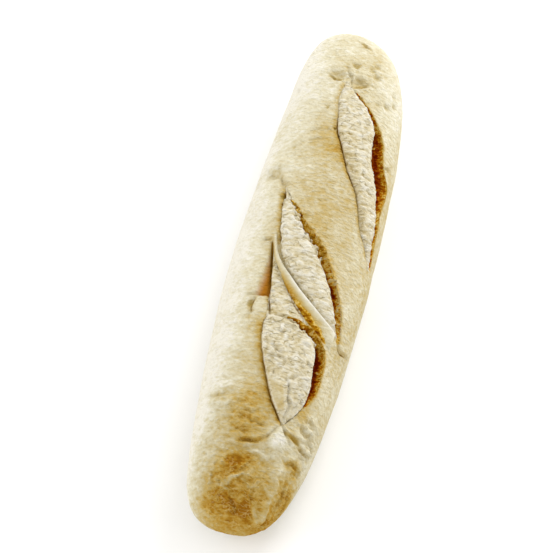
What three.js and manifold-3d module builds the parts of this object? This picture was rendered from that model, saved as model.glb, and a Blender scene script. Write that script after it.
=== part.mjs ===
// A scored sub roll: a short white loaf, baked pale, lying flat on its base.
//
// Millimetres, +Z up. The origin is the middle of the base, on the surface that the loaf rests on.
// +Y runs along the loaf from its near end to its far end, and +X is its right side.
//
// The loaf is one solid. Its plain form is a spindle with a round crown and a flat base. Places on
// that form are given in skin coordinates: y along the loaf, w round the skin from the crown line
// (positive to the right), and h out of the skin. The three scores, the crumb that swells out of
// them and the strap of crust between two of them are laid out on the skin, then cut and joined.

import * as THREE from "three";
import { mergeVertices } from "three/addons/utils/BufferGeometryUtils.js";
import Module from "manifold-3d";

// ---------------------------------------------------------------- driving dimensions

const LENGTH = 270;
const HALF_WIDTH = 33.8; // at the belly, before the taper
const CROWN_HEIGHT = 48;
const CROWN_SAG = 0.12; // share of the crown's height lost towards the ends
const WAIST_HEIGHT = 17.5; // height of the widest line
const WAIST_RISE = 4; // that line climbs this much from the middle to the far end
const BASE_PRESS = 0.6; // how far the round underside is pressed flat
const TAPER = [-0.035, -0.368, 0.175, 0.175]; // half width's terms in t, t², t³ and t⁴
const BEND = { even: 3.57, odd: -2.5, end: -7.66, middle: -0.29 }; // sideways drift of the axis

const SIDE_CAP = { near: 14, far: 6 }; // bluntness of each end seen from above
const CROWN_CAP = { near: 5, far: 4.6 }; // bluntness of each end seen from the side
const BASE_CAP = 8; // how far the underside stays down towards the ends
const CROWN_ROUNDNESS = 2.15; // superellipse exponents of the section, over and under the waist
const BASE_ROUNDNESS = 3;

const RINGS = 54;
const COLUMNS = 34;
const CROWN_TURN = 0.25; // the crown's place round a sphere's columns
const SECTION_STEPS = 180; // points of a section's outline, for measuring along it
const STATIONS = 400; // points of the side outline, for spacing the rings evenly

const SAMPLES_PER_POINT = 12; // of a line on the skin
const MERGE_DISTANCE = 1e-4;

const ROOT = -9; // how deep the bodies on the skin reach into the loaf
const SHALLOW_ROOT = -4.5;
const CLEAR = 7; // how far cutters stand out of the skin
const TIP = 0.6; // width that a tapered piece keeps at its tips
const DOME = { flatness: 3, roundness: 0.6 }; // the rounded top of a body, across it

const CRACK = { width: 1.6, depth: 2.2 }; // the split along the left of each score
const CRUMB = {
  foldHeight: 0.3, // the folds that run across the crumb
  foldTurns: 46, // radians of them along a score
  foldSlant: 5, // and across it
  sink: 0.8, // its edges start this far under the crust
};
const GAP = {
  undercut: 0.6, // how far it reaches under the crumb
  over: 0.4, // how far over the skin its tips end
  floorRise: 0.75, // share of its depth by which its floor climbs towards the lip
};
const LIP = { width: 4.5, steepness: 1.3, sink: 0.3 }; // the edge of crust beyond a gap
const STRAP_EDGE = { steepness: 0.6, sink: 0.3 };
const SUNKEN_STEEPNESS = 0.4; // how soon the sunken skin reaches its depth
const FLAP_EDGE = { steepness: 0.5, sink: 0.2 };
const CUT_START = 0.1; // how far over the skin a shallow cut starts

// Faces across and along each kind of body on the skin.
const DIVISIONS = {
  crumb: [5, 20],
  gap: [3, 18],
  lip: [2, 16],
  groove: [2, 10],
  strap: [4, 22],
  sunken: [2, 8],
  flap: [3, 4],
};

// ---------------------------------------------------------------- layout of the scores, as [y, w]

// Each score has crumb that swells out between `left` and `shoulder`, a gap that opens from the
// shoulder to `lip`, and a thin raised edge of crust along that lip.
const FAR_SCORE = {
  left: [
    [94, -1.2], [83, -2.7], [74, -1.2], [64, 0.4], [55, 4.6], [42, 11], [32, 18], [16, 25.4], [1, 37.4],
  ],
  shoulder: [
    [94, -0.6], [84, 9], [74, 17], [62, 20.2], [50, 23.4], [40, 28.6], [28, 34], [16, 37], [1, 38.8],
  ],
  lip: [
    [88, 5.6], [79, 14.6], [68, 22.8], [58, 26.8], [51, 30.4], [45, 35.6], [30, 36.6], [18, 38.4], [2, 41],
  ],
  rise: 2.6,
  depth: 8,
  edge: 1,
};
const MIDDLE_SCORE = {
  left: [
    [26, -16], [10, -12.8], [-4, -10], [-13, -6], [-20, 0], [-28, 8.5], [-34, 17.5], [-40, 27.5],
  ],
  shoulder: [
    [26, -14.6], [17, -8.4], [7, -0.8], [-3, 6.4], [-12, 12.8], [-21, 19.6], [-31, 25], [-40, 29.2],
  ],
  lip: [[20, -10], [12, -3.4], [2, 6.6], [-8, 14.6], [-19, 22.6], [-30, 28.4], [-42, 32]],
  rise: 3.2,
  depth: 6.5,
  edge: 1,
};
const NEAR_SCORE = {
  left: [[-89, 12.6], [-80, 5.4], [-70, 0.4], [-58, -4.5], [-47, -7.2], [-40.5, -6]],
  shoulder: [[-89, 13.6], [-82, 18.8], [-74, 22], [-62, 21.4], [-50, 19.6], [-44, 11.5], [-40.5, -5]],
  lip: [[-81, 20], [-74, 25.4], [-62, 27], [-51, 25.4], [-46, 22.4], [-42, 16.5], [-39.8, 8]],
  rise: 3.4,
  depth: 7.5,
  edge: 0.9,
};
// The crumb under the strap, which lies lower than the rest of the near score.
const LOW_CRUMB = {
  left: [[-44, -6.2], [-31, -8.2], [-20, -10.2], [-8, -12.8]],
  shoulder: [[-44, 15], [-36, 8.4], [-26, -1.2], [-17, -7.6], [-8, -11.6]],
  rise: 1.9,
};
// The skin that has sunk on the left of that crumb, in a step from the flap before it.
const SUNKEN_SKIN = {
  left: [[-31.5, -13], [-22, -13.2], [-8, -13.8]],
  right: [[-31.5, -8.2], [-20, -10.2], [-8, -12.8]],
  depth: 3.2,
};
const FLAP = {
  left: [[-41, -15], [-36, -16], [-31.5, -14.6]],
  right: [[-41, -7], [-36, -7.4], [-31.5, -8.6]],
  rise: 0.9,
};
// The strap: a taut ridge of crust from the left crust down to the right crust.
const STRAP = {
  left: [
    [1, -14.4], [-10, -11.2], [-15, -8.4], [-20, -5.4], [-25, -2.6], [-30, 1.2], [-35, 7], [-40, 13],
    [-47, 25],
  ],
  right: [
    [1, -12.4], [-8, -9.6], [-15, -5.2], [-20, -0.4], [-25, 4.6], [-30, 10.8], [-35, 18.6], [-39, 27],
  ],
  rise: 3,
};

// Broad swells and hollows of the crust: [y, w, reach along, reach across, height].
const SWELLS = [
  [-96, 12, 7, 12, 1.5], // the fold that closes the near score
  [-84, -18, 6, 13, -1.1], // soft fold on the left of it
  [-104, -2, 6, 12, -1.2],
  [-121, 15, 9, 6, 1.3], // dog-ear on the near end
  [-118, -14, 9, 10, 0.9],
  [96, -6, 5, 5, -1.4], // dimples past the far score
  [95, 7, 5, 5, -1.5],
  [36, -26, 11, 9, -0.9],
  [-20, 36, 22, 8, 1],
];
// Creases in the crust: [line, width, depth].
const CREASES = [
  [[[-98, 17.4], [-93, 15.4], [-88, 12.8]], 2.4, 1.8],
  [[[-93.6, 25], [-92.6, 20], [-91.4, 16]], 2.6, 1.5],
  [[[-101.2, -5], [-99.6, 0], [-99.4, 6]], 3.2, 1.5],
  [[[-45.4, 41], [-44.6, 34.6], [-40.6, 29.6]], 2.4, 1.6],
  [[[24.4, -15.2], [31, -19], [37, -26]], 3, 1.3],
  [[[94, 1.4], [98, 0.4], [103, -1.4]], 2.2, 1.2],
];

const CRUST_COLOUR = 0xe9dcb4;

// ---------------------------------------------------------------- the plain form

const halfLength = LENGTH / 2;
const cap = (t, bluntness) => Math.sqrt(Math.max(0, 1 - Math.abs(t) ** bluntness));
const atEnd = (ends, t) => (t < 0 ? ends.near : ends.far);

// How far the axis lies to the right at t. Each term's mean, or its mean slope, is taken off it.
function drift(t) {
  const even = BEND.even * (t ** 2 - 1 / 3);
  const odd = BEND.odd * (t ** 3 - (3 / 5) * t);
  const end = BEND.end * (t ** 4 - 1 / 5);
  return BEND.middle + even + odd + end;
}

// The form's measures at t, from -1 at the near end to 1 at the far end.
function outline(t) {
  const waist = WAIST_HEIGHT + WAIST_RISE * t;
  const taper = TAPER.reduce((sum, term, i) => sum + term * t ** (i + 1), 1);
  return {
    y: halfLength * t,
    halfWidth: HALF_WIDTH * taper * cap(t, atEnd(SIDE_CAP, t)),
    waist,
    above: (CROWN_HEIGHT * (1 - CROWN_SAG * t * t) - waist) * cap(t, atEnd(CROWN_CAP, t)),
    below: (waist + BASE_PRESS) * cap(t, BASE_CAP),
    drift: drift(t),
  };
}

// The section across the loaf at one place along it, measured by the distance round its skin.
class Section {
  constructor(y) {
    const t = THREE.MathUtils.clamp(y / halfLength, -1, 1);
    const form = outline(t);
    this.y = form.y;
    this.points = [];
    this.reach = [0];
    for (let i = 0; i <= SECTION_STEPS; i++) {
      const angle = (i / SECTION_STEPS - 0.5) * 2 * Math.PI;
      const [s, c] = [Math.sin(angle), Math.cos(angle)];
      const power = c > 0 ? CROWN_ROUNDNESS : BASE_ROUNDNESS;
      const scale = (Math.abs(s) ** power + Math.abs(c) ** power) ** (-1 / power);
      const height = form.waist + scale * c * (c > 0 ? form.above : form.below);
      this.points.push(new THREE.Vector2(form.drift + scale * s * form.halfWidth, Math.max(0, height)));
      if (i > 0) this.reach.push(this.reach[i - 1] + this.points[i].distanceTo(this.points[i - 1]));
    }
    this.perimeter = this.reach[SECTION_STEPS];
    this.crown = this.reach[SECTION_STEPS / 2];
  }

  // The point of the skin at w from the crown line, h out of the skin.
  point(w, h = 0) {
    const wanted = THREE.MathUtils.euclideanModulo(this.crown + w, this.perimeter || 1);
    let i = 1;
    while (i < SECTION_STEPS && this.reach[i] < wanted) i++;
    const [a, b] = [this.points[i - 1], this.points[i]];
    const span = this.reach[i] - this.reach[i - 1];
    const at = a.clone().lerp(b, span > 0 ? (wanted - this.reach[i - 1]) / span : 0);
    const out = new THREE.Vector2(a.y - b.y, b.x - a.x).normalize();
    return new THREE.Vector3(at.x + out.x * h, this.y, at.y + out.y * h);
  }
}

const sections = new Map();
function sectionAt(y) {
  if (!sections.has(y)) sections.set(y, new Section(y));
  return sections.get(y);
}

// Values of t that space the rings evenly along the loaf's side and round its ends.
function ringPlaces(count) {
  const reach = [0];
  const places = [];
  for (let i = 0; i <= STATIONS; i++) {
    places.push(-Math.cos((i / STATIONS) * Math.PI));
    if (i === 0) continue;
    const [a, b] = [outline(places[i - 1]), outline(places[i])];
    reach.push(reach[i - 1] + Math.hypot(b.y - a.y, b.halfWidth - a.halfWidth));
  }
  return Array.from({ length: count + 1 }, (_, ring) => {
    const wanted = (ring / count) * reach[STATIONS];
    let i = 1;
    while (i < STATIONS && reach[i] < wanted) i++;
    const share = (wanted - reach[i - 1]) / (reach[i] - reach[i - 1]);
    return THREE.MathUtils.lerp(places[i - 1], places[i], share);
  });
}

// ---------------------------------------------------------------- solids

const wasm = await Module();
wasm.setup();

// A closed three.js geometry as a solid that can be cut and joined.
function solid(geometry) {
  const bare = new THREE.BufferGeometry();
  bare.setIndex(geometry.index);
  bare.setAttribute("position", geometry.getAttribute("position"));
  const merged = mergeVertices(bare, MERGE_DISTANCE);
  return new wasm.Manifold(
    new wasm.Mesh({
      numProp: 3,
      vertProperties: merged.getAttribute("position").array,
      triVerts: new Uint32Array(merged.index.array),
    }),
  );
}

// Moves each vertex of a geometry to where `place` puts it.
function mapped(geometry, place) {
  const position = geometry.getAttribute("position");
  const uv = geometry.getAttribute("uv");
  for (let i = 0; i < position.count; i++) {
    const at = new THREE.Vector3().fromBufferAttribute(position, i);
    const to = place(at, new THREE.Vector2().fromBufferAttribute(uv, i));
    position.setXYZ(i, to.x, to.y, to.z);
  }
  return geometry;
}

// How far the crust swells at a place on the skin.
function swelling(y, w) {
  const bump = ([atY, atW, along, across, height]) =>
    height * Math.exp(-(((y - atY) / along) ** 2) - ((w - atW) / across) ** 2);
  return SWELLS.reduce((sum, swell) => sum + bump(swell), 0);
}

// The plain loaf: a sphere's rings laid along the loaf, its columns round the skin.
function plainLoaf() {
  const places = ringPlaces(RINGS);
  const sphere = new THREE.SphereGeometry(1, COLUMNS, RINGS);
  return mapped(sphere, (at, uv) => {
    const section = sectionAt(places[Math.round(uv.y * RINGS)] * halfLength);
    const turn = THREE.MathUtils.euclideanModulo(uv.x, 1) - CROWN_TURN;
    const w = turn * section.perimeter;
    return section.point(w, swelling(section.y, w));
  });
}

// A smooth line on the skin, read as w at a place y.
class SkinLine {
  constructor(points) {
    const curve = new THREE.SplineCurve(points.map(([y, w]) => new THREE.Vector2(y, w)));
    this.samples = curve.getPoints(points.length * SAMPLES_PER_POINT).sort((a, b) => a.x - b.x);
    this.from = this.samples[0].x;
    this.to = this.samples.at(-1).x;
  }

  at(y) {
    const inside = THREE.MathUtils.clamp(y, this.from, this.to);
    const i = Math.max(1, this.samples.findIndex((sample) => sample.x >= inside));
    const [a, b] = [this.samples[i - 1], this.samples[i]];
    return THREE.MathUtils.mapLinear(inside, a.x, b.x, a.y, b.y);
  }
}

const skinLine = (points, by = 0) => new SkinLine(points.map(([y, w]) => [y, w + by]));

// A body laid on the skin between two lines, its underside `bottom(along, across)` and its upper
// side `top(along, across)` out of the skin. Both take shares: along from the near end, and across
// from the left line.
function skinBody(left, right, [across, along], bottom, top) {
  const [from, to] = [Math.max(left.from, right.from), Math.min(left.to, right.to)];
  const box = new THREE.BoxGeometry(1, 1, 1, across, along, 1);
  return solid(
    mapped(box, (at) => {
      const [u, v] = [at.x + 0.5, at.y + 0.5];
      const y = THREE.MathUtils.lerp(from, to, v);
      const w = THREE.MathUtils.lerp(left.at(y), Math.max(right.at(y), left.at(y) + TIP), u);
      const skin = swelling(y, w);
      return sectionAt(y).point(w, skin + (at.z > 0 ? top(v, u) : bottom(v, u)));
    }),
  );
}

const full = (share) => Math.sqrt(Math.sin(Math.PI * share)); // closes at both tips
const dome = (share) => (1 - Math.abs(2 * share - 1) ** DOME.flatness) ** DOME.roundness;

// Crumb that has swollen out of a score, in folds that run across it.
function crumb({ left, shoulder, rise }) {
  const folds = (v, u) => CRUMB.foldHeight * Math.sin(CRUMB.foldTurns * v + CRUMB.foldSlant * u);
  const top = (v, u) => (rise + folds(v, u)) * full(v) * dome(u) - CRUMB.sink;
  return skinBody(skinLine(left), skinLine(shoulder), DIVISIONS.crumb, () => ROOT, top);
}

// The open gap between the crumb and the lip, deepest beside the crumb.
function gap({ shoulder, lip, depth }) {
  const bottom = (v, u) => GAP.over - depth * full(v) * (1 - GAP.floorRise * u);
  return skinBody(skinLine(shoulder, -GAP.undercut), skinLine(lip), DIVISIONS.gap, bottom, () => CLEAR);
}

// The thin edge of crust that stands up along a lip.
function lipEdge({ lip, edge }) {
  const top = (v, u) => edge * LIP.steepness * full(v) * (1 - u) - LIP.sink;
  const [inner, outer] = [skinLine(lip, -TIP / 2), skinLine(lip, LIP.width)];
  return skinBody(inner, outer, DIVISIONS.lip, () => SHALLOW_ROOT, top);
}

// A V-shaped groove along a line.
function groove(line, { width, depth }) {
  const bottom = (v, u) => CUT_START - depth * full(v) * (1 - Math.abs(2 * u - 1));
  const [left, right] = [skinLine(line, -width / 2), skinLine(line, width / 2)];
  return skinBody(left, right, DIVISIONS.groove, bottom, () => CLEAR);
}

// The taut ridge of crust that crosses the near score.
function strap({ left, right, rise }) {
  const top = (v, u) => rise * full(v) * dome(u) ** STRAP_EDGE.steepness - STRAP_EDGE.sink;
  return skinBody(skinLine(left), skinLine(right), DIVISIONS.strap, () => SHALLOW_ROOT, top);
}

// The cut that leaves the skin sunken beside the split, deepest at its near end.
function sunkenSkin({ left, right, depth }) {
  const bottom = (v, u) => CUT_START - depth * u * (1 - v) ** SUNKEN_STEEPNESS;
  return skinBody(skinLine(left), skinLine(right), DIVISIONS.sunken, bottom, () => CLEAR);
}

// The flap of crust before that step.
function flap({ left, right, rise }) {
  const top = (v, u) => (rise + FLAP_EDGE.sink) * v * u ** FLAP_EDGE.steepness - FLAP_EDGE.sink;
  return skinBody(skinLine(left), skinLine(right), DIVISIONS.flap, () => SHALLOW_ROOT, top);
}

function rollSolid() {
  const scores = [FAR_SCORE, MIDDLE_SCORE, NEAR_SCORE];
  let loaf = solid(plainLoaf());
  for (const body of [...scores.map(lipEdge), flap(FLAP)]) {
    loaf = loaf.add(body);
  }
  for (const score of scores) {
    loaf = loaf.subtract(gap(score));
  }
  for (const score of [...scores, LOW_CRUMB]) {
    loaf = loaf.add(crumb(score));
  }
  for (const score of scores) {
    loaf = loaf.subtract(groove(score.left, CRACK));
  }
  loaf = loaf.subtract(sunkenSkin(SUNKEN_SKIN));
  loaf = loaf.add(strap(STRAP));
  for (const [line, width, depth] of CREASES) {
    loaf = loaf.subtract(groove(line, { width, depth }));
  }
  return loaf;
}

// ---------------------------------------------------------------- the roll

function rollMesh() {
  const made = rollSolid().getMesh();
  const geometry = new THREE.BufferGeometry();
  geometry.setAttribute("position", new THREE.BufferAttribute(made.vertProperties, 3));
  geometry.setIndex(new THREE.BufferAttribute(made.triVerts, 1));
  geometry.computeVertexNormals();
  const crust = new THREE.MeshStandardMaterial({ color: CRUST_COLOUR, roughness: 0.85, metalness: 0 });
  const mesh = new THREE.Mesh(geometry, crust);
  mesh.name = "sub_roll";
  return mesh;
}

const roll = new THREE.Group();
roll.add(rollMesh());

export default roll;
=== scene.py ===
"""The looks of a scored sub roll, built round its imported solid.

Blender 4.5, metres, +Z up. The roll lies along +Y, from its browner near end to its far end, and +X
is its right side. Places on the roll are given in skin coordinates, in millimetres: y along the roll
and w round its skin from the crown line, positive to the right. The skin is laid out flat, made finer
where the scores are, shaped, and then rolled round the loaf's plain form.
"""

import logging
import math
from collections.abc import Callable, Sequence
from dataclasses import dataclass, field
from enum import Enum
from typing import Protocol

import bmesh
import bpy
import numpy as np
from mathutils import Matrix, Vector, noise

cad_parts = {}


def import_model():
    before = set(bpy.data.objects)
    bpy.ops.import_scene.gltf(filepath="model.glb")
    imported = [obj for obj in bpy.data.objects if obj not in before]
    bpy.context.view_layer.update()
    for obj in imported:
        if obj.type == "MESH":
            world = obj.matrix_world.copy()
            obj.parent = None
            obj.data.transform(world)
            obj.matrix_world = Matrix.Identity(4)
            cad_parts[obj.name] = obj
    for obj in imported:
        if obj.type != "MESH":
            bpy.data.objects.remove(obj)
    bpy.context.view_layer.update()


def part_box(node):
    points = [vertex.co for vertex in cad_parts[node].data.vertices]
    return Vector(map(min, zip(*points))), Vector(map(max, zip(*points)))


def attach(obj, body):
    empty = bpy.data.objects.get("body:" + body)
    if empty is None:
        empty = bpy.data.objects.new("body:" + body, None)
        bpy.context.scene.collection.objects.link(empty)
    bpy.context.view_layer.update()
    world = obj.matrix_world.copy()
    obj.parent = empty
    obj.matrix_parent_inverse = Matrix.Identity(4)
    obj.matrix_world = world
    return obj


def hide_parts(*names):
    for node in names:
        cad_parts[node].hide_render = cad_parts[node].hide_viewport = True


LOG = logging.getLogger("sub_roll")

NODE = "sub_roll"
BODY = "root"

MM = 0.001
# The least width in millimetres that anything is divided by
THINNEST = 1e-3
PHOTO_PIXELS = 553
# The plain form's share of the solid's width: the skin's swellings make up the rest
FORM_SHARE = 0.9987
# How far a seed of 1 moves the noise along each axis
SEED_SHIFT = (17.3, 5.9, 11.7)

Points = Sequence[tuple[float, float]]
Colour = tuple[float, float, float]
Stops = Sequence[tuple[float, Colour]]
Range = tuple[float, float]
Size = float | Sequence[float]


# ---------------------------------------------------------------- plain maths


def smooth(value: np.ndarray, low: float, high: float) -> np.ndarray:
    """Returns 0 under low, 1 over high and a smooth step between them."""
    share = np.clip((value - low) / (high - low), 0.0, 1.0)
    return share * share * (3.0 - 2.0 * share)


def bell(value: np.ndarray, reach: float) -> np.ndarray:
    """Returns a bell curve of height 1 that falls to a third at reach."""
    return np.exp(-((value / reach) ** 2))


@dataclass(frozen=True)
class Stretch:
    """A stretch along the roll that fades in and out, or no stretch where high isn't over low."""

    low: float = 0.0
    high: float = 0.0
    fade_in: Range = (3.0, 3.0)
    fade_out: Range = (3.0, 3.0)

    def at(self, y: np.ndarray) -> np.ndarray:
        """Says how far places are within the stretch.

        Args:
            y: Places along the roll.

        Returns:
            1 within it and 0 outside it. A fade starts before an end and finishes past it.
        """
        rising = smooth(y, self.low - self.fade_in[0], self.low + self.fade_in[1])
        falling = 1.0 - smooth(y, self.high - self.fade_out[0], self.high + self.fade_out[1])
        return rising * falling * (self.high > self.low)


def grain(places: np.ndarray, size: Size, seed: float, octaves: int = 3) -> np.ndarray:
    """Fractal noise at some places.

    Args:
        places: Places in millimetres, one in each row.
        size: The size of the noise's features, or one size for each axis, in millimetres.
        seed: Moves the noise, so that two fields differ.
        octaves: How many finer layers of noise are added up.

    Returns:
        The noise at each place, about -1 to 1.
    """
    shift = Vector([seed * part for part in SEED_SHIFT])
    scaled = places / np.asarray(size)
    return np.array([noise.fractal(Vector(place) + shift, 1.0, 2.0, octaves) for place in scaled])


@dataclass(frozen=True)
class Line:
    """A smooth line on the skin, read as w at a place y."""

    points: Points
    steps: int = 14

    def samples(self) -> tuple[np.ndarray, np.ndarray]:
        """Works out the curve that runs through the points.

        Returns:
            y and w along it, in order of y.
        """
        knots = np.array([self.points[0], *self.points, self.points[-1]], float)
        share = np.linspace(0.0, 1.0, self.steps, endpoint=False)[:, None]
        spans = [
            0.5 * (2 * b + (c - a) * share + (2 * a - 5 * b + 4 * c - d) * share**2
                   + (3 * b - a - 3 * c + d) * share**3)
            for a, b, c, d in zip(knots, knots[1:], knots[2:], knots[3:])
        ]
        curve = np.vstack([*spans, knots[-1:]])
        order = np.argsort(curve[:, 0], kind="stable")
        return curve[order, 0], curve[order, 1]

    def at(self, y: np.ndarray) -> np.ndarray:
        """Returns w at each y, held level past the line's ends."""
        along, across = self.samples()
        return np.interp(y, along, across)

    def span(self) -> tuple[float, float]:
        """Returns the lowest and the highest y of the line."""
        along, _ = self.samples()
        return float(along[0]), float(along[-1])

    def share(self, y: np.ndarray) -> np.ndarray:
        """Returns how far along the line each y is, 0 to 1, held past its ends."""
        low, high = self.span()
        return np.clip((y - low) / (high - low), 0.0, 1.0)

    def full(self, y: np.ndarray, tip: float) -> np.ndarray:
        """Says how full a thing is that lies along the line.

        Args:
            y: Places along the roll.
            tip: How it ends, from 0, blunt, to 1, pointed.

        Returns:
            1 along most of the line, and 0 at its tips and past them.
        """
        share = self.share(y)
        within = (share > 0.0) & (share < 1.0)
        return np.where(within, np.sin(np.pi * share), 0.0).clip(0.0) ** tip


# ---------------------------------------------------------------- the plain form


@dataclass
class LoafForm:
    """The plain loaf: a spindle with a round crown and a flat base, in millimetres."""

    length: float
    half_width: float
    crown_height: float = 48.0
    crown_sag: float = 0.12
    waist_height: float = 17.5
    waist_rise: float = 4.0
    base_press: float = 0.6
    taper: tuple[float, ...] = (-0.035, -0.368, 0.175, 0.175)
    bend: tuple[float, ...] = (3.57, -2.5, -7.66)
    middle: float = -0.29
    side_cap: tuple[float, float] = (14.0, 6.0)
    crown_cap: tuple[float, float] = (5.0, 4.6)
    base_cap: float = 8.0
    roundness: tuple[float, float] = (2.15, 3.0)
    section_steps: int = 360
    stations: int = 2000

    def cap(self, t: np.ndarray, near: float, far: float) -> np.ndarray:
        """Returns how full the form is at t, 1 in the middle and 0 at both ends."""
        bluntness = np.where(t < 0.0, near, far)
        return np.sqrt(np.clip(1.0 - np.abs(t) ** bluntness, 0.0, 1.0))

    def outline(self, t: np.ndarray) -> dict[str, np.ndarray]:
        """Works out the form's measures.

        Args:
            t: Places along the loaf, from -1 at the near end to 1 at the far end.

        Returns:
            The half width, waist height, heights above and below the waist, and sideways drift.
        """
        waist = self.waist_height + self.waist_rise * t
        taper = 1.0 + sum(term * t ** (power + 1) for power, term in enumerate(self.taper))
        even, odd, end = self.bend
        return {
            "half_width": self.half_width * taper * self.cap(t, *self.side_cap),
            "waist": waist,
            "above": (self.crown_height * (1 - self.crown_sag * t * t) - waist)
            * self.cap(t, *self.crown_cap),
            "below": (waist + self.base_press) * self.cap(t, self.base_cap, self.base_cap),
            "drift": self.middle + even * (t * t - 1 / 3) + odd * (t**3 - 0.6 * t)
            + end * (t**4 - 0.2),
        }

    def along(self, share: np.ndarray) -> np.ndarray:
        """Finds places along the loaf.

        Args:
            share: Shares of the way round its side outline, 0 at the near end and 1 at the far end.

        Returns:
            t at each of them.
        """
        t = -np.cos(np.linspace(0.0, np.pi, self.stations))
        width = self.outline(t)["half_width"]
        steps = np.hypot(np.diff(t) * self.length / 2, np.diff(width))
        reach = np.concatenate([[0.0], np.cumsum(steps)])
        return np.interp(share * reach[-1], reach, t)

    def section(self, t: float) -> tuple[np.ndarray, np.ndarray]:
        """Traces the outline across the loaf at one place, from the base's middle and back to it.

        Args:
            t: The place along the loaf.

        Returns:
            The outline's points (x, z), and the distance to each of them round the skin.
        """
        measures = self.outline(np.array([t]))
        form = {name: float(value[0]) for name, value in measures.items()}
        angle = (np.linspace(0.0, 1.0, self.section_steps + 1) - 0.5) * 2 * np.pi
        sine, cosine = np.sin(angle), np.cos(angle)
        upper = cosine > 0.0
        power = np.where(upper, *self.roundness)
        scale = (np.abs(sine) ** power + np.abs(cosine) ** power) ** (-1.0 / power)
        x = form["drift"] + scale * sine * form["half_width"]
        z = form["waist"] + scale * cosine * np.where(upper, form["above"], form["below"])
        points = np.column_stack([x, np.maximum(z, 0.0)])
        steps = np.hypot(*np.diff(points, axis=0).T)
        return points, np.concatenate([[0.0], np.cumsum(steps)])

    def place(self, turn: np.ndarray, share: np.ndarray) -> tuple[np.ndarray, np.ndarray]:
        """Puts places of the flat skin on the loaf.

        Args:
            turn: The share of the way round, -0.5 to 0.5, 0 at the crown.
            share: The share of the way along, 0 to 1.

        Returns:
            The points (x, y, z), and w of each of them.
        """
        points = np.zeros((len(turn), 3))
        across = np.zeros(len(turn))
        rows, row_of = np.unique(share, return_inverse=True)
        order = np.argsort(row_of, kind="stable")
        groups = np.split(order, np.cumsum(np.bincount(row_of))[:-1])
        for t, members in zip(self.along(rows), groups):
            outline, reach = self.section(float(t))
            crown = reach[self.section_steps // 2]
            wanted = np.clip(crown + turn[members] * reach[-1], 0.0, reach[-1])
            points[members, 0] = np.interp(wanted, reach, outline[:, 0])
            points[members, 1] = t * self.length / 2
            points[members, 2] = np.interp(wanted, reach, outline[:, 1])
            across[members] = turn[members] * reach[-1]
        return points, across

    def outward(self, turn: np.ndarray, share: np.ndarray) -> np.ndarray:
        """Finds the way out of the plain form.

        Args:
            turn: The share of the way round, -0.5 to 0.5.
            share: The share of the way along, 0 to 1.

        Returns:
            A unit direction for each place.
        """
        step = 0.002
        right = self.place(np.clip(turn + step, -0.5, 0.5), share)[0]
        left = self.place(np.clip(turn - step, -0.5, 0.5), share)[0]
        far = self.place(turn, np.clip(share + step, 0.0, 1.0))[0]
        near = self.place(turn, np.clip(share - step, 0.0, 1.0))[0]
        out = np.cross(right - left, far - near)
        length = np.linalg.norm(out, axis=1, keepdims=True)
        return out / np.maximum(length, 1e-9)


# ---------------------------------------------------------------- what shapes the skin


class Mask(Enum):
    """What the skin is like at a place, kept on the mesh for its material.

    The shade mask is painted shade on crust and crumb: beside the cracks, in creases and dents, and where the
    crumb lies low.
    In a gap it picks the frayed, golden colours of the wall instead. The crack mask is painted shade too, the
    dark lines of cracks and creases. The fold mask paints crust and crumb paler on their ridges and darker in
    their folds, as painted highlight and shade.
    """

    CRUMB = "crumb"
    HOLLOW = "hollow"
    CRACK_SHADE = "crack"
    BAKE = "bake"
    BLUSH = "blush"
    TAUT = "taut"
    PAINTED_SHADE_AND_FRAY = "shade"
    FOLD = "fold"


@dataclass
class Skin:
    """The roll's skin while it is shaped: its places, its height and its masks."""

    y: np.ndarray
    w: np.ndarray
    rest: np.ndarray
    wander: float = 1.6
    wander_size: float = 5.0
    wander_seeds: Range = (31.0, 32.0)
    height: np.ndarray = field(init=False)
    winding: tuple[np.ndarray, np.ndarray] = field(init=False)
    masks: dict[Mask, np.ndarray] = field(init=False)

    def __post_init__(self) -> None:
        """Starts with a smooth skin, empty masks, and y and w that wander for what winds."""
        self.height = np.zeros(len(self.y))
        aside = [self.wander * grain(self.rest, self.wander_size, seed) for seed in self.wander_seeds]
        self.winding = (self.y + aside[0], self.w + aside[1])
        self.masks = {mask: np.zeros(len(self.y)) for mask in Mask}

    def lay(self, mask: Mask, amount: np.ndarray) -> None:
        """Raises a mask to an amount where it is lower."""
        self.masks[mask] = np.maximum(self.masks[mask], amount)

    def clear(self, amount: np.ndarray, *masks: Mask) -> None:
        """Takes masks away by an amount, 0 to 1."""
        for mask in masks:
            self.masks[mask] = self.masks[mask] * (1.0 - amount)

    def brown(self, amount: np.ndarray) -> None:
        """Browns the crust by an amount, or pales it where that is under 0."""
        self.masks[Mask.BAKE] += amount

    def brown_to(self, tone: np.ndarray | float, share: np.ndarray) -> None:
        """Brings the crust's browning towards a tone, by a share of 0 to 1."""
        self.masks[Mask.BAKE] += (tone - self.masks[Mask.BAKE]) * share


class Feature(Protocol):
    """Anything that shapes the skin."""

    def shape(self, skin: Skin) -> None:
        """Changes the skin's height and its masks."""


@dataclass(frozen=True)
class Swell:
    """A broad swell of the crust, or a hollow where its height is under 0."""

    y: float
    w: float
    along: float
    across: float
    height: float

    def shape(self, skin: Skin) -> None:
        """Raises the skin round the swell's middle."""
        y, w = skin.winding
        skin.height += self.height * bell(y - self.y, self.along) * bell(w - self.w, self.across)


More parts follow.
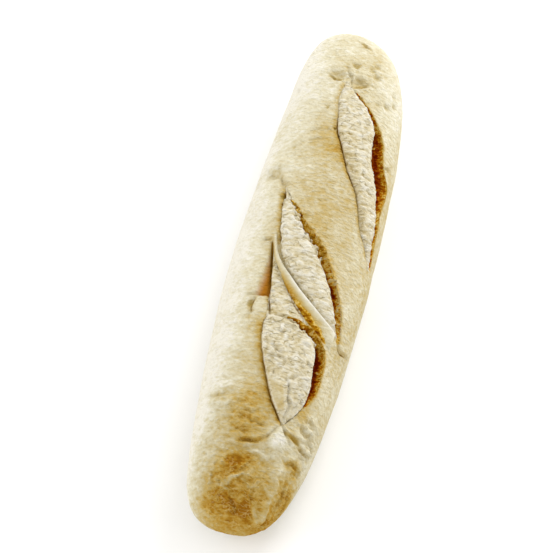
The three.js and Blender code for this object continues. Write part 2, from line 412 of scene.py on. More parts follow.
@dataclass(frozen=True)
class Score:
    """A score that has opened: crumb that swells out, a gap beside it and the lip of the crust.

    The crumb lies between left and shoulder, and the gap between inner, or else the shoulder, and
    lip. The tips say how crumb, gap and edge end, from 0, blunt, to 1, pointed. The crack is given by
    places along the roll and how strong it is there.
    """

    left: Line
    shoulder: Line
    lip: Line
    rise: float
    depth: float
    seed: float
    # Where the gap's painted shade is at its darkest
    dark: Stretch
    crack: Points
    inner: Line | None = None
    # Where the crumb beside the crack gets painted shade, and where the gap's wall frays
    shaded: Stretch = Stretch()
    frayed: Stretch = Stretch()
    # How far the lines are torn, and the left and the lip's share of it
    tear: float = 0.5
    tear_size: float = 4.0
    fray: float = 2.2
    fray_size: float = 1.8
    left_tear: float = 0.3
    lip_tear: float = 0.7
    # The crumb, which stands at its full height where it is wide, bends down at the shoulder, and gets
    # painted shade beside the crack within its shaded stretch
    crumb_tip: float = 0.4
    wide_crumb: float = 9.0
    bend_share: float = 0.45
    bend_limits: Range = (0.5, 5.0)
    overhang: float = 2.5
    crumb_foot: float = 1.6
    crumb_edge: float = 0.5
    shaded_shares: Range = (0.05, 0.55)
    # The gap: places across it and how deep it is there, and how it gets shallow past its dark stretch
    gap_tip: float = 0.45
    wide_gap: float = 3.0
    floor: tuple[Sequence[float], Sequence[float]] = ((0.0, 0.85, 1.0), (1.0, 0.3, 0.0))
    shallow_end: float = 0.55
    shallow_reach: float = 12.0
    # The gap's tones, from its wall by the lip to its dark part, which is wider in its dark stretch. The
    # darkening with depth is painted shade of the deep gap
    base_tone: float = 0.18
    deepest: float = 1.0
    shallow: float = 0.5
    dark_shares: Range = (0.46, 0.62)
    dark_widening: float = 0.33
    frayed_tone: float = 0.12
    # The edge of the crust that stands up along the lip, and its browning
    edge: float = 1.0
    edge_tip: float = 0.6
    edge_width: float = 3.0
    glow: float = 0.55
    glow_reach: float = 1.2
    # The crack left of the crumb, whose dark line is painted shade, darker and paler by turns, and the
    # browned rim beside it
    crack_depth: float = 0.8
    crack_width: float = 0.5
    crack_aside: float = 0.15
    crack_tone: float = 0.88
    crack_change: float = 0.5
    crack_palest: float = 0.55
    crack_size: float = 5.0
    rim_aside: float = 0.6
    rim_width: float = 1.5
    rim_tone: float = 0.3

    def lines(self) -> tuple[Line, ...]:
        """Returns the lines where the skin needs its finest mesh."""
        return self.left, self.shoulder, self.lip

    def shape(self, skin: Skin) -> None:
        """Opens the score in the skin.

        Args:
            skin: The skin, which is changed.
        """
        flat = np.column_stack([skin.w, skin.y, np.zeros(len(skin.y))])
        frays = (skin.y > self.frayed.low) & (skin.y < self.frayed.high)
        ragged = self.tear * grain(flat, self.tear_size, self.seed)
        ragged += frays * self.fray * grain(flat, self.fray_size, self.seed + 2.0)
        left = self.left.at(skin.y) + self.left_tear * ragged
        shoulder = self.shoulder.at(skin.y) + ragged
        inner = (self.inner or self.shoulder).at(skin.y) + ragged
        lip = self.lip.at(skin.y) + self.lip_tear * ragged
        self.swell_crumb(skin, left, np.maximum(shoulder, left))
        self.open_gap(skin, np.maximum(inner, left), lip)
        self.raise_edge(skin, lip)
        self.split_crust(skin, left)

    def swell_crumb(self, skin: Skin, left: np.ndarray, shoulder: np.ndarray) -> None:
        """Raises the crumb between its two edges, round over the gap on its right, and paints shade on it
        beside the crack.

        Args:
            skin: The skin, which is changed.
            left: w of the crumb's left edge, for each place of the skin.
            shoulder: w of its right edge.
        """
        full = self.left.full(skin.y, self.crumb_tip)
        inside = (skin.w > left) & (skin.w < shoulder) & (full > 0.0)
        width, from_left = shoulder - left, skin.w - left
        rise = self.rise * full * np.clip(width / self.wide_crumb, 0.0, 1.0)
        bend = np.clip(width * self.bend_share, *self.bend_limits)
        roll_over = 1.0 - np.clip((shoulder - skin.w) / bend, 0.0, 1.0)
        drop = (rise + self.overhang * full) * (1.0 - np.sqrt(np.clip(1.0 - roll_over**2, 0.0, 1.0)))
        crumb = rise * (1.0 - np.exp(-np.maximum(from_left, 0.0) / self.crumb_foot)) - drop
        skin.height = np.where(inside, skin.height + crumb, skin.height)
        skin.lay(Mask.CRUMB, inside * smooth(from_left, 0.0, self.crumb_edge))
        beside = 1.0 - smooth(from_left / np.maximum(width, THINNEST), *self.shaded_shares)
        skin.lay(Mask.PAINTED_SHADE_AND_FRAY, inside * beside * self.shaded.at(skin.y))

    def open_gap(self, skin: Skin, inner: np.ndarray, lip: np.ndarray) -> None:
        """Sinks the gap between the crumb and the lip, deepest beside the crumb, and tones it darker there
        and in its dark stretch, painted shade of the deep gap.

        Args:
            skin: The skin, which is changed.
            inner: w of the gap's left edge, for each place of the skin.
            lip: w of its right edge.
        """
        full = self.lip.full(skin.y, self.gap_tip)
        width = np.maximum(lip - inner, THINNEST)
        share = (skin.w - inner) / width
        inside = (share >= 0.0) & (share < 1.0) & (full > 0.0) & (lip > inner)
        far_end = smooth(skin.y, self.dark.high, self.dark.high + self.shallow_reach)
        depth = self.depth * full * (1.0 - self.shallow_end * far_end)
        depth *= np.clip(width / self.wide_gap, 0.0, 1.0)
        skin.height = np.where(inside, skin.height - depth * np.interp(share, *self.floor), skin.height)
        within = self.dark.at(skin.y)
        wall = 1.0 - smooth(share - self.dark_widening * within, *self.dark_shares)
        dark = wall * (self.shallow + (1.0 - self.shallow) * within)
        frayed = self.frayed.at(skin.y)
        tone = self.base_tone + (self.deepest - self.base_tone) * dark + self.frayed_tone * frayed
        skin.clear(inside.astype(float), Mask.CRUMB)
        skin.lay(Mask.HOLLOW, np.where(inside, tone, 0.0))
        skin.masks[Mask.PAINTED_SHADE_AND_FRAY] = np.where(inside, frayed, skin.masks[Mask.PAINTED_SHADE_AND_FRAY])

    def raise_edge(self, skin: Skin, lip: np.ndarray) -> None:
        """Stands the thin edge of the crust up along the lip, and browns it.

        Args:
            skin: The skin, which is changed.
            lip: w of the lip, for each place of the skin.
        """
        beyond = skin.w - lip
        full = self.lip.full(skin.y, self.edge_tip) * (beyond > 0.0)
        skin.height += self.edge * (full * np.exp(-np.maximum(beyond, 0.0) / self.edge_width))
        skin.brown(self.glow * full * bell(beyond, self.glow_reach))

    def split_crust(self, skin: Skin, left: np.ndarray) -> None:
        """Cuts the thin crack along the left of the crumb, paints its shade as a dark line, and browns the
        crust beside it.

        Args:
            skin: The skin, which is changed.
            left: w of the crumb's left edge, for each place of the skin.
        """
        full = np.interp(skin.y, *zip(*self.crack))
        near = bell(skin.w - left - self.crack_aside, self.crack_width) * full
        skin.height -= self.crack_depth * near
        along = np.column_stack([np.zeros(len(left)), skin.y, np.zeros(len(left))])
        tone = self.crack_tone + self.crack_change * grain(along, self.crack_size, self.seed + 1.0)
        skin.lay(Mask.CRACK_SHADE, near * np.clip(tone, self.crack_palest, 1.0))
        beside = bell(skin.w - left + self.rim_aside, self.rim_width) * full * (skin.w < left)
        skin.brown(self.rim_tone * beside)


@dataclass(frozen=True)
class Band:
    """A band of the skin between two lines."""

    left: Line
    right: Line

    def lines(self) -> tuple[Line, ...]:
        """Returns the lines where the skin needs its finest mesh."""
        return self.left, self.right

    def across(self, y: np.ndarray, w: np.ndarray) -> np.ndarray:
        """Returns how far across the band places are, 0 on its left line and 1 on its right one."""
        left, right = self.left.at(y), self.right.at(y)
        return (w - left) / np.maximum(right - left, THINNEST)

    def holds(self, skin: Skin) -> np.ndarray:
        """Finds what lies in the band.

        Args:
            skin: The skin.

        Returns:
            Whether each place of the skin does.
        """
        low, high = self.left.span()
        share = self.across(skin.y, skin.w)
        return (skin.y > low) & (skin.y < high) & (share > 0.0) & (share < 1.0)

    def inset(self, skin: Skin) -> np.ndarray:
        """Returns how far in from the nearer of the two lines each place is."""
        return np.minimum(skin.w - self.left.at(skin.y), self.right.at(skin.y) - skin.w)


@dataclass(frozen=True)
class Crumb(Band):
    """Crumb that shows at the level of the crust, with no gap beside it, and painted shade on it."""

    rise: float
    soft_edge: float = 2.0
    shade: float = 0.5

    def shape(self, skin: Skin) -> None:
        """Raises the crumb between its two lines, and paints shade on it.

        Args:
            skin: The skin, which is changed.
        """
        inside = self.holds(skin).astype(float)
        skin.height += self.rise * smooth(self.inset(skin), 0.0, self.soft_edge) * inside
        skin.lay(Mask.CRUMB, inside)
        skin.lay(Mask.PAINTED_SHADE_AND_FRAY, self.shade * inside)


@dataclass(frozen=True)
class SunkenSkin(Band):
    """Skin that has sunk beside a split, in a step at its near end."""

    depth: float
    slope: float = 0.8
    fade: float = 0.5

    def shape(self, skin: Skin) -> None:
        """Sinks the skin towards the split, and reddens it there.

        Args:
            skin: The skin, which is changed.
        """
        share = np.clip(self.across(skin.y, skin.w), 0.0, 1.0)
        fade = (1.0 - self.left.share(skin.y)) ** self.fade
        sunk = np.where(self.holds(skin), share**self.slope * fade, 0.0)
        skin.height -= self.depth * sunk
        skin.lay(Mask.BLUSH, sunk)


@dataclass(frozen=True)
class Strap(Band):
    """The taut ridge of crust that crosses a score, sloped on its left and steep on its right.

    Its tones are given across it, browner on its left slope and palest by its crest, where the paleness is a
    painted highlight; they stand out from plain_tone less towards its pale end and foot.
    """

    rise: float
    tip: float = 0.4
    crest: float = 0.84
    slope: float = 0.8
    steep_drop: float = 0.6
    steep_foot: float = 1.1
    # Tones across the strap; the palest, by its crest, is a painted highlight
    shares: tuple[float, ...] = (0.0, 0.14, 0.36, 0.55, 0.9)
    tones: tuple[float, ...] = (1.0, 0.86, 0.62, 0.34, -0.1)
    plain_tone: float = 0.2
    pale_end: Range = (-30.0, -15.0)
    paling: float = 0.7
    pale_foot: Range = (-45.0, -37.0)
    torn_foot: Stretch = Stretch(-44.0, -33.0, (3.0, 1.0), (3.0, 4.0))
    torn_shares: Range = (0.1, 0.4)
    torn_tone: float = 0.64
    torn_shade: float = 6.0

    def shape(self, skin: Skin) -> None:
        """Lays the strap over what is under it.

        Args:
            skin: The skin, which is changed.
        """
        inside = self.holds(skin)
        full = self.left.full(skin.y, self.tip)
        share = self.across(skin.y, skin.w)
        profile = np.clip(share / self.crest, 0.0, 1.0) ** self.slope
        profile *= 1.0 - self.steep_drop * smooth(share, self.crest, self.steep_foot)
        skin.height = np.where(inside, self.rise * full * profile, skin.height)
        skin.clear(inside.astype(float), Mask.CRUMB, Mask.HOLLOW, Mask.CRACK_SHADE, Mask.BLUSH, Mask.PAINTED_SHADE_AND_FRAY)
        skin.lay(Mask.TAUT, inside * full)
        browned = full * (1.0 - self.paling * smooth(skin.y, *self.pale_end))
        browned *= smooth(skin.y, *self.pale_foot)
        tone = np.interp(share, self.shares, self.tones) - self.plain_tone
        skin.brown_to(self.plain_tone + tone * browned, inside)
        foot = 1.0 - smooth(self.across(skin.y, skin.winding[1]), *self.torn_shares)
        torn = self.torn_foot.at(skin.y) * (inside * foot)
        skin.lay(Mask.HOLLOW, self.torn_tone * torn)
        skin.lay(Mask.PAINTED_SHADE_AND_FRAY, np.clip(self.torn_shade * torn, 0.0, 1.0))


@dataclass(frozen=True)
class SmoothLobe(Band):
    """A part of the crumb that has dried smooth, like crust."""

    rise: float
    tone: float
    soft_edge: float = 3.0
    smoothing: float = 0.6

    def shape(self, skin: Skin) -> None:
        """Smooths the crumb between the two lines.

        Args:
            skin: The skin, which is changed.
        """
        low, high = self.left.span()
        from_ends = np.minimum(skin.y - low, high - skin.y)
        inside = smooth(np.minimum(self.inset(skin), from_ends / 2), 0.0, self.soft_edge)
        skin.height += self.rise * inside
        skin.clear(self.smoothing * inside, Mask.CRUMB)
        skin.clear(inside, Mask.PAINTED_SHADE_AND_FRAY)
        skin.brown_to(self.tone, inside)


@dataclass(frozen=True)
class Crease:
    """A crease or a small crack in the crust along a path, or a ridge where its depth is under 0.

    The reaches of its lifted sides, its dark line and its toned zone are shares of its width. The dark line
    is painted shade, and the toned zone is browned and given painted shade, or paled where the tone is under
    0.
    """

    path: Points
    width: float
    depth: float
    dark: float = 0.0
    lift: float = 0.0
    tone: float = 0.0
    winds: bool = True
    tip: float = 0.04
    fullness: float = 0.7
    lift_reach: float = 1 / 1.5
    dark_reach: float = 1 / 2.6
    tone_reach: float = 0.7
    browning: float = 0.6
    shading: float = 0.5

    def distance(self, y: np.ndarray, w: np.ndarray) -> tuple[np.ndarray, np.ndarray]:
        """Measures how far places are from the path.

        Args:
            y: Places along the roll.
            w: Places round the skin.

        Returns:
            Each place's distance from the path, and how far along the path it is, 0 to 1.
        """
        nearest = np.full(len(y), np.inf)
        share = np.zeros(len(y))
        spans = len(self.path) - 1
        for index, (start, end) in enumerate(zip(self.path, self.path[1:])):
            run = (end[0] - start[0], end[1] - start[1])
            size = run[0] ** 2 + run[1] ** 2
            along = ((y - start[0]) * run[0] + (w - start[1]) * run[1]) / size
            along = np.clip(along, 0.0, 1.0)
            gap = np.hypot(y - start[0] - along * run[0], w - start[1] - along * run[1])
            closer = gap < nearest
            nearest = np.where(closer, gap, nearest)
            share = np.where(closer, (index + along) / spans, share)
        return nearest, share

    def shape(self, skin: Skin) -> None:
        """Sinks the crease, lifts the crust a little on both of its sides, paints shade along it, and browns
        it, or pales it where its tone is under 0.

        Args:
            skin: The skin, which is changed.
        """
        away, share = self.distance(*(skin.winding if self.winds else (skin.y, skin.w)))
        full = np.maximum(np.sin(np.pi * (self.tip + (1 - 2 * self.tip) * share)), 0.0) ** self.fullness
        skin.height -= self.depth * full * bell(away, self.width / 2)
        skin.height += self.lift * full * bell(away - self.width, self.width * self.lift_reach)
        skin.lay(Mask.CRACK_SHADE, self.dark * full * bell(away, self.width * self.dark_reach))
        tone = self.tone * full * bell(away, self.width * self.tone_reach)
        skin.brown(self.browning * tone)
        skin.lay(Mask.PAINTED_SHADE_AND_FRAY, self.shading * tone)


@dataclass(frozen=True)
class Dimple:
    """A small round hollow in the crust."""

    y: float
    w: float
    radius: float
    depth: float
    tone: float = 0.3
    steepness: int = 3
    browning: float = 0.3
    shading: float = 1.5

    def shape(self, skin: Skin) -> None:
        """Sinks the dimple, browns it a little and paints shade in it.

        Args:
            skin: The skin, which is changed.
        """
        away = np.hypot(skin.y - self.y, skin.w - self.w)
        near = np.exp(-((away / self.radius) ** self.steepness))
        skin.height -= self.depth * near
        skin.brown(self.browning * self.tone * near)
        skin.lay(Mask.PAINTED_SHADE_AND_FRAY, np.clip(self.shading * self.tone, 0.0, 1.0) * near)


@dataclass(frozen=True)
class Shred:
    """A shred of crumb that still clings in a gap, and nothing where there is no gap."""

    y: float
    w: float
    reach: float = 1.0
    height: float = 2.2
    pale: float = 0.43
    tone: float = 0.62
    gap_edge: float = 0.125
    clearing: Range = (0.3, 0.8)

    def shape(self, skin: Skin) -> None:
        """Raises the shred from the gap's floor.

        Args:
            skin: The skin, which is changed.
        """
        y, w = skin.winding
        in_gap = np.clip(skin.masks[Mask.HOLLOW] / self.gap_edge, 0.0, 1.0)
        near = bell(np.hypot(y - self.y, w - self.w), self.reach) * in_gap
        skin.height += self.height * near
        skin.lay(Mask.CRUMB, self.pale * near)
        skin.clear(smooth(near, *self.clearing), Mask.HOLLOW, Mask.PAINTED_SHADE_AND_FRAY)
        skin.brown_to(self.tone, near)


@dataclass(frozen=True)
class BakedPatch:
    """A patch of crust that has browned more than the rest, or less where its tone is under 0, with painted
    shade where its shade is over 0.
    """

    y: float
    w: float
    along: float
    across: float
    tone: float
    shade: float = 0.0
    steepness: float = 1.5

    def shape(self, skin: Skin) -> None:
        """Browns the skin round the patch's middle, or pales it, and paints shade there as far as its shade
        goes.

        Args:
            skin: The skin, which is changed.
        """
        y, w = skin.winding
        away = ((y - self.y) / self.along) ** 2 + ((w - self.w) / self.across) ** 2
        near = np.exp(-(away**self.steepness))
        skin.brown(self.tone * near)
        skin.lay(Mask.PAINTED_SHADE_AND_FRAY, self.shade * near)


@dataclass(frozen=True)
class Wrinkles:
    """Fine folds of the crust, drawn out across or along the roll in one zone."""

    y: float
    w: float
    along: float
    across: float
    height: float
    size: tuple[float, float, float]
    seed: float
    crest: float = 0.5
    sharpness: float = 2.0

    def shape(self, skin: Skin) -> None:
        """Wrinkles the crust of the zone, and leaves crumb, gaps and strap alone.

        Args:
            skin: The skin, which is changed.
        """
        zone = bell(skin.y - self.y, self.along) * bell(skin.w - self.w, self.across)
        other = np.maximum.reduce([skin.masks[mask] for mask in (Mask.CRUMB, Mask.HOLLOW, Mask.TAUT)])
        ridge = self.crest - self.sharpness * np.abs(grain(skin.rest, self.size, self.seed))
        folds = ridge * zone * np.clip(1.0 - other, 0.0, 1.0)
        skin.height += self.height * folds
        skin.masks[Mask.FOLD] += folds


@dataclass(frozen=True)
class CrumbFolds:
    """The torn, folded surface of the crumb and of the gaps' walls."""

    height: float = 0.55
    size: tuple[float, float, float] = (4.5, 1.5, 4.5)
    chunk_from: float = -42.0
    chunk_fade: float = 4.0
    chunk_height: float = 0.8
    chunk_size: tuple[float, float, float] = (2.6, 5.0, 2.6)
    chunk_mark: float = 0.8
    fine_height: float = 0.35
    fine_size: tuple[float, float, float] = (1.8, 0.9, 1.8)
    fine_mark: float = 0.6
    torn_height: float = 0.7
    torn_size: float = 1.6
    seeds: tuple[float, float, float, float] = (3.0, 4.0, 6.0, 5.0)

    def shape(self, skin: Skin) -> None:
        """Folds the crumb across the roll, and in chunks along it in the near score.

        Args:
            skin: The skin, which is changed.
        """
        crumb, hollow = skin.masks[Mask.CRUMB], skin.masks[Mask.HOLLOW]
        fold_seed, chunk_seed, fine_seed, torn_seed = self.seeds
        near = smooth(self.chunk_from - skin.y, 0.0, self.chunk_fade)
        across = grain(skin.rest, self.size, fold_seed) * (1.0 - near)
        chunks = grain(skin.rest, self.chunk_size, chunk_seed, 2) * near
        fine = grain(skin.rest, self.fine_size, fine_seed)
        skin.height += (self.height * across + self.chunk_height * chunks + self.fine_height * fine) * crumb
        skin.masks[Mask.FOLD] += (across + self.chunk_mark * chunks + self.fine_mark * fine) * crumb
        torn = grain(skin.rest, self.torn_size, torn_seed)
        skin.height += self.torn_height * torn * hollow
        skin.masks[Mask.FOLD] += torn * hollow


@dataclass(frozen=True)
class Lumps:
    """The unevenness of the whole loaf."""

    height: float = 0.45
    size: float = 26.0
    fine_height: float = 0.1
    fine_size: float = 3.0
    seeds: Range = (1.0, 2.0)

    def shape(self, skin: Skin) -> None:
        """Makes the skin gently uneven."""
        skin.height += self.height * grain(skin.rest, self.size, self.seeds[0], 2)
        skin.height += self.fine_height * grain(skin.rest, self.fine_size, self.seeds[1])


# ---------------------------------------------------------------- this roll's own features

# How far before and past their ends a gap's dark stretch and the crumb's painted shade fade in and out
DARK_FADES: tuple[Range, Range] = ((5.0, 3.0), (3.0, 6.0))
SHADED_FADES: tuple[Range, Range] = ((6.0, 2.0), (2.0, 6.0))

FAR_SCORE = Score(
    left=Line((
        (94, -1.2), (83, -2.7), (74, -1.2), (64, 0.4), (55, 4.6), (42, 11), (32, 18), (16, 25.4),
        (9, 31.6), (1, 37.4),
    )),
    shoulder=Line((
        (94, -0.6), (89, 4), (84, 9), (79, 13.8), (74, 17), (68, 19.3), (58, 20.4), (50, 22.9), (40, 28),
        (30, 32.2), (24, 34.4), (15, 35.8), (8, 37.5), (1, 38.8),
    )),
    lip=Line((
        (88, 5.6), (84, 9.6), (79, 14.6), (74, 18.6), (68, 22.8), (63, 24.9), (58, 26.2), (53, 28.4),
        (50, 30.4), (47, 33.8), (43, 35.6), (36, 35.4), (30, 34.8), (25, 35.7), (18, 37.2), (8, 39),
        (2, 40.6),
    )),
    rise=2.6,
    depth=7.4,
    seed=11.0,
    dark=Stretch(32.0, 68.0, *DARK_FADES),
    crack=((2, 0), (6, 0.7), (33, 0.72), (37, 0.95), (62, 1), (66, 1), (70, 0.72), (91, 0.7), (95, 0)),
    shaded=Stretch(14.0, 60.0, *SHADED_FADES),
    deepest=0.85,
    base_tone=0.36,
)
MIDDLE_SCORE = Score(
    left=Line((
        (27, -16), (18, -14.8), (8, -12.8), (-3, -9.8), (-13, -6), (-20, 0), (-28, 8.5), (-34, 17.5),
        (-40, 27.5),
    )),
    shoulder=Line((
        (26, -14.6), (17, -8.2), (7, -1.2), (2, 3.2), (-3, 7.8), (-12, 13.4), (-21, 19.5), (-31, 25),
        (-40, 29.2),
    )),
    lip=Line((
        (20, -9.6), (12, -3), (7, 1.6), (2, 7.4), (-3, 11.4), (-8, 14.9), (-19, 21.8), (-30, 28),
        (-42, 32),
    )),
    rise=3.2,
    depth=5.6,
    seed=12.0,
    dark=Stretch(-24.0, -18.0, *DARK_FADES),
    crack=((-5, 0), (-2, 0.88), (14, 0.88), (19, 1), (24, 1), (28, 0)),
    frayed=Stretch(-8.0, 22.0),
    glow=0.34,
    glow_reach=1.5,
    base_tone=0.14,
    deepest=0.85,
    shallow=0.3,
)
NEAR_SCORE = Score(
    left=Line(((-89, 12.6), (-80, 5.4), (-70, 0.4), (-58, -4.5), (-47, -7.2), (-40.5, -6))),
    shoulder=Line((
        (-89, 13.6), (-82, 18.8), (-74, 22), (-62, 21.4), (-50, 19.6), (-46.5, 16), (-44, 11.5),
        (-42, 7), (-40.5, -5),
    )),
    inner=Line((
        (-82, 18.6), (-74, 22), (-62, 21.4), (-50, 19.6), (-46.5, 16), (-44, 11.5), (-42, 7), (-40, 3),
    )),
    lip=Line((
        (-78, 20.6), (-76, 22.8), (-72, 24.9), (-62, 25.8), (-51, 24.3), (-46, 21.2), (-42, 15.6),
        (-39.8, 7.6),
    )),
    rise=3.4,
    depth=7.5,
    edge=0.9,
    seed=13.0,
    dark=Stretch(-72.0, -52.0, *DARK_FADES),
    crack=((-91, 0), (-88, 1), (-67, 1), (-60, 0.8), (-43, 0.75), (-39, 0)),
    shaded=Stretch(-88.0, -64.0, *SHADED_FADES),
    frayed=Stretch(-49.0, -38.0),
    base_tone=0.3,
    crack_width=0.62,
)
LOW_CRUMB = Crumb(
    left=Line(((-44, -6.2), (-31, -8.2), (-20, -10.2), (-6, -13.2))),
    right=Line(((-44, 15), (-36, 8.4), (-26, -1.2), (-17, -7.6), (-6, -12))),
    rise=0.7,
)
SUNKEN_SKIN = SunkenSkin(
    left=Line(((-31.5, -16.4), (-22, -14.8), (-8, -13.8))),
    right=Line(((-31.5, -8.2), (-20, -10.2), (-8, -12.8))),
    depth=2.6,
)
STRAP = Strap(
    left=Line((
        (1, -14.4), (-10, -11.2), (-15, -8.4), (-20, -5), (-25, -1.8), (-30, 2.2), (-35, 7.4), (-40, 13),
        (-47, 25),
    )),
    right=Line((
        (1, -12.6), (-8, -9.8), (-15, -5.4), (-20, -0.6), (-25, 4.4), (-30, 10.6), (-35, 18.4),
        (-39, 27),
    )),
    rise=2.8,
)
SMOOTH_LOBE = SmoothLobe(
    left=Line(((-88, 11.6), (-80, 4.6), (-68, -1))),
    right=Line(((-88, 14.6), (-82, 13.4), (-76, 11.6), (-68, 9))),
    rise=0.4,
    tone=0.42,
)
# y, w, reach along the roll and across it, height
SWELLS = tuple(Swell(*row) for row in (
    (-96, 13, 5, 6, 2.2), (-84, -18, 3, 12, 0.7), (-104, -2, 5, 12, -1.3), (-116, 17, 12, 3, 1.5),
    (-125, 15, 4, 4, 1.3), (-117, 2, 5, 14, 0.9), (-126, -2, 5, 10, -0.6), (97.5, -6.5, 3, 4.5, -2.8),
    (94.5, 5.5, 2.6, 3.6, -2.6), (99, -12, 4, 8, 0.8), (99, 10, 6, 8, 0.8), (35.5, -26, 3.4, 5, -2.2),
    (40, -22, 3.5, 6, 1.2), (20, -24, 8, 6, 0.8), (-20, 36, 22, 8, 1), (-36.5, -11, 4, 3, 0.6),
    (36, 0, 18, 12, 0.8),
))
